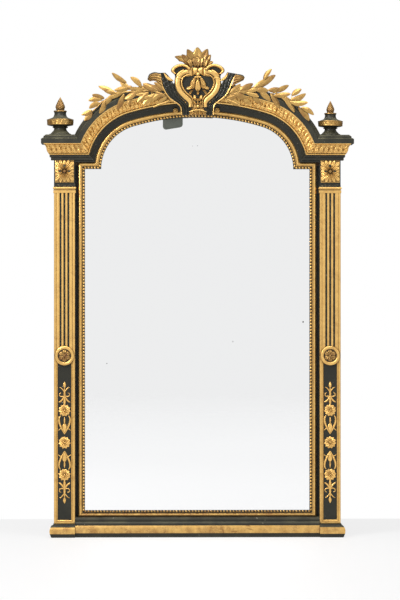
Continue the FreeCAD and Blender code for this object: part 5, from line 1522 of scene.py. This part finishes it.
            # Every third leaf takes the darker rubbed gilding: painted shade that parts it from its neighbours.
            leaf(shape, start - along * 0.08, end + along * 0.04, half, room * 0.6, 1 if number % 3 == 1 else 0,
                 bend=rng.uniform(-0.09, 0.09), groove=0.1, belly=0.5, facing=facing, rows=16, cols=12, blunt=0.66,
                 keel=0.85)
        shape.piece("leafy_branch_" + name, "branch_" + name, "gilding", "carved gilding", "darker rubbed gilding", sharp=30)


# Carcass, glass and fittings

class MIRROR_OT_carcass(bpy.types.Operator):
    """Dress the pine carcass and the back boards."""
    bl_idname = "mirror.carcass"
    bl_label = "Carcass"

    def execute(self, context):
        dress("pine", "glazing_blocks")
        dress("painted pine", "stile_left", "stile_right")
        dress("level pine", "bottom_rail", "arched_head", "backboard_1", "backboard_2", "backboard_3", "backboard_4")
        return {"FINISHED"}


class MIRROR_OT_glass(bpy.types.Operator):
    """Dress the silvered plate and the slip of card."""
    bl_idname = "mirror.glass"
    bl_label = "Glass"

    def execute(self, context):
        dress("glass", "mirror_glass")
        dress("card", "packing_card")
        return {"FINISHED"}


RING_SIDES = 16


class MIRROR_OT_fittings(bpy.types.Operator):
    """Dress the nails, the screws and the hanging straps, and make the rings."""
    bl_idname = "mirror.fittings"
    bl_label = "Fittings"

    def execute(self, context):
        dress("iron", "back_fixings")
        dress("brass", "hanger_strap_left", "hanger_strap_right")
        for name, _ in SIDES:
            self.ring(name)
        return {"FINISHED"}

    def ring(self, name):
        """A wire ring with a straight bar and a drawn-in foot, bent at its corners."""
        low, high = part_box("hanger_ring_" + name)
        size = sizes()
        wire = size.ring_wire / 2
        middle = (low + high) / 2
        half = (high.x - low.x) / 2 - wire
        bar = high.z - wire
        foot = low.z + wire
        tall = bar - foot
        knee = bar - tall * 0.47
        bend = size.ring_wire * 0.9
        quarter = [(half - bend, bar), (half - bend * 0.3, bar - bend * 0.3), (half, bar - bend),
                   (half, (bar + knee) / 2), (half, knee), (half * 0.8, (knee + foot) / 2),
                   (half * 0.45, foot + (knee - foot) * 0.04), (half * 0.2, foot)]
        corners = quarter + [(-across, up) for across, up in reversed(quarter)]
        run = smooth_run([Vector((middle.x + across, middle.y, up)) for across, up in corners], 5)
        run += smooth_run([run[-1], Vector((middle.x, middle.y, bar)), run[0]], 2)[1:-1]
        rows = []
        for number, place in enumerate(run):
            along = (run[(number + 1) % len(run)] - run[number - 1]).normalized()
            outward = along.cross(FRONT).normalized()
            rows.append([place + (outward * math.cos(turn) + FRONT * math.sin(turn)) * wire
                         for turn in around(RING_SIDES)])
        shape = Shape()
        shape.grid(rows, ring=True)
        shape.piece("wire_ring_" + name, "hanger_ring_" + name, "brass_fittings", "brass", body="ring_" + name,
                    sharp=50)


# Stage

FLOOR_NEAR = -16.0
FLOOR_FAR = 0.81
FLOOR_HALF = 4.5
AIM_DEPTH = -0.03
SENSOR = 36

# Area lights: name, place, height of what they face, width, height, power and colour
LAMPS = [
    ("key", (-2.4, -3.2, 3.2), 0.9, 0.9, 0.9, 120, (1, 0.985, 0.96)),
    ("fill", (2.9, -2.8, 1.8), 0.9, 1.6, 2.2, 14, (1, 1, 1)),
    ("top", (0, -0.9, 3.4), 1.0, 2.4, 1.2, 42, (1, 1, 1)),
]


class MIRROR_OT_stage(bpy.types.Operator):
    """Set up the pale floor, the soft light and the camera."""
    bl_idname = "mirror.stage"
    bl_label = "Stage"

    def execute(self, context):
        scene = context.scene
        mesh = bpy.data.meshes.new("floor")
        mesh.from_pydata([(-FLOOR_HALF, FLOOR_NEAR, 0), (FLOOR_HALF, FLOOR_NEAR, 0), (FLOOR_HALF, FLOOR_FAR, 0),
                          (-FLOOR_HALF, FLOOR_FAR, 0)], [], [(0, 1, 2, 3)])
        mesh.materials.append(finish("floor"))
        floor = bpy.data.objects.new("floor", mesh)
        scene.collection.objects.link(floor)
        self.camera(scene)
        for lamp in LAMPS:
            self.lamp(scene, *lamp)
        self.world(scene)
        scene.view_settings.view_transform = "Standard"
        scene.view_settings.look = "None"
        return {"FINISHED"}

    def camera(self, scene):
        """A camera far off, whose frame takes in the front view."""
        size = sizes()
        camera = bpy.data.cameras.new("camera")
        camera.sensor_width = SENSOR
        camera.sensor_fit = "AUTO"
        camera.lens = SENSOR * size.view_distance / (VIEW_PIXELS[1] * STEP)
        made = bpy.data.objects.new("camera", camera)
        turn = size.view_turn
        made.location = (spot(VIEW_PIXELS[0] / 2, VIEW_PIXELS[1] / 2, AIM_DEPTH)
                         + Vector((math.sin(turn), -math.cos(turn), 0)) * size.view_distance)
        made.rotation_euler = (math.pi / 2, 0, turn)
        scene.collection.objects.link(made)
        scene.camera = made

    def lamp(self, scene, name, place, aim, wide, tall, power, tint):
        lamp = bpy.data.lights.new(name, "AREA")
        lamp.shape = "RECTANGLE"
        lamp.size = wide
        lamp.size_y = tall
        lamp.energy = power
        lamp.color = tint
        made = bpy.data.objects.new(name, lamp)
        made.location = place
        made.rotation_euler = (Vector((0, 0, aim)) - Vector(place)).to_track_quat("-Z", "Y").to_euler()
        scene.collection.objects.link(made)

    def world(self, scene):
        """White to the camera, dim to the wood, and to gold a bright sweep behind the viewer and overhead."""
        world = bpy.data.worlds.new("studio")
        world.use_nodes = True
        world.node_tree.nodes.clear()
        made = Finish("studio", world.node_tree)
        way = made.add("SeparateXYZ", made.add("TexCoord").outputs["Generated"]).outputs
        bright = made.maths("MAXIMUM", made.span(way["Y"], -0.42, -0.85, 0.3, 1.0),
                            made.span(way["Z"], 0.35, 0.75, 0.25, 0.8))
        path = made.add("LightPath").outputs
        glossy = made.add("Background", bright, 0.91).outputs[0]
        dim = made.add("Background", (0.985, 0.99, 1, 1), 0.4).outputs[0]
        white = made.add("Background", (1, 1, 1, 1), 1.0).outputs[0]
        lit = made.add("MixShader", path["Is Glossy Ray"], dim, glossy).outputs[0]
        made.add("OutputWorld", made.add("MixShader", path["Is Camera Ray"], lit, white).outputs[0])
        scene.world = world


OPERATORS = (MIRROR_OT_stage, MIRROR_OT_carcass, MIRROR_OT_glass, MIRROR_OT_sight, MIRROR_OT_arch,
             MIRROR_OT_pilasters, MIRROR_OT_base, MIRROR_OT_urns, MIRROR_OT_crest, MIRROR_OT_fittings)


class MIRROR_PT_panel(bpy.types.Panel):
    """The steps that dress the mirror, in order, and its sizes and colours."""
    bl_idname = "MIRROR_PT_panel"
    bl_label = "Arched pier mirror"
    bl_space_type = "VIEW_3D"
    bl_region_type = "UI"
    bl_category = "Mirror"

    def draw(self, context):
        for operator in OPERATORS:
            self.layout.operator(operator.bl_idname)
        for group in (context.scene.mirror_sizes, context.scene.mirror_colours):
            box = self.layout.box()
            for name in group.__annotations__:
                box.prop(group, name)


CLASSES = (MirrorSizes, MirrorColours, *OPERATORS, MIRROR_PT_panel)


def register():
    for one in CLASSES:
        bpy.utils.register_class(one)
    bpy.types.Scene.mirror_sizes = PointerProperty(type=MirrorSizes)
    bpy.types.Scene.mirror_colours = PointerProperty(type=MirrorColours)


def unregister():
    del bpy.types.Scene.mirror_colours
    del bpy.types.Scene.mirror_sizes
    for one in reversed(CLASSES):
        bpy.utils.unregister_class(one)


def main():
    register()
    for operator in OPERATORS:
        group, name = operator.bl_idname.split(".")
        getattr(getattr(bpy.ops, group), name)()


if __name__ == "__main__":
    main()
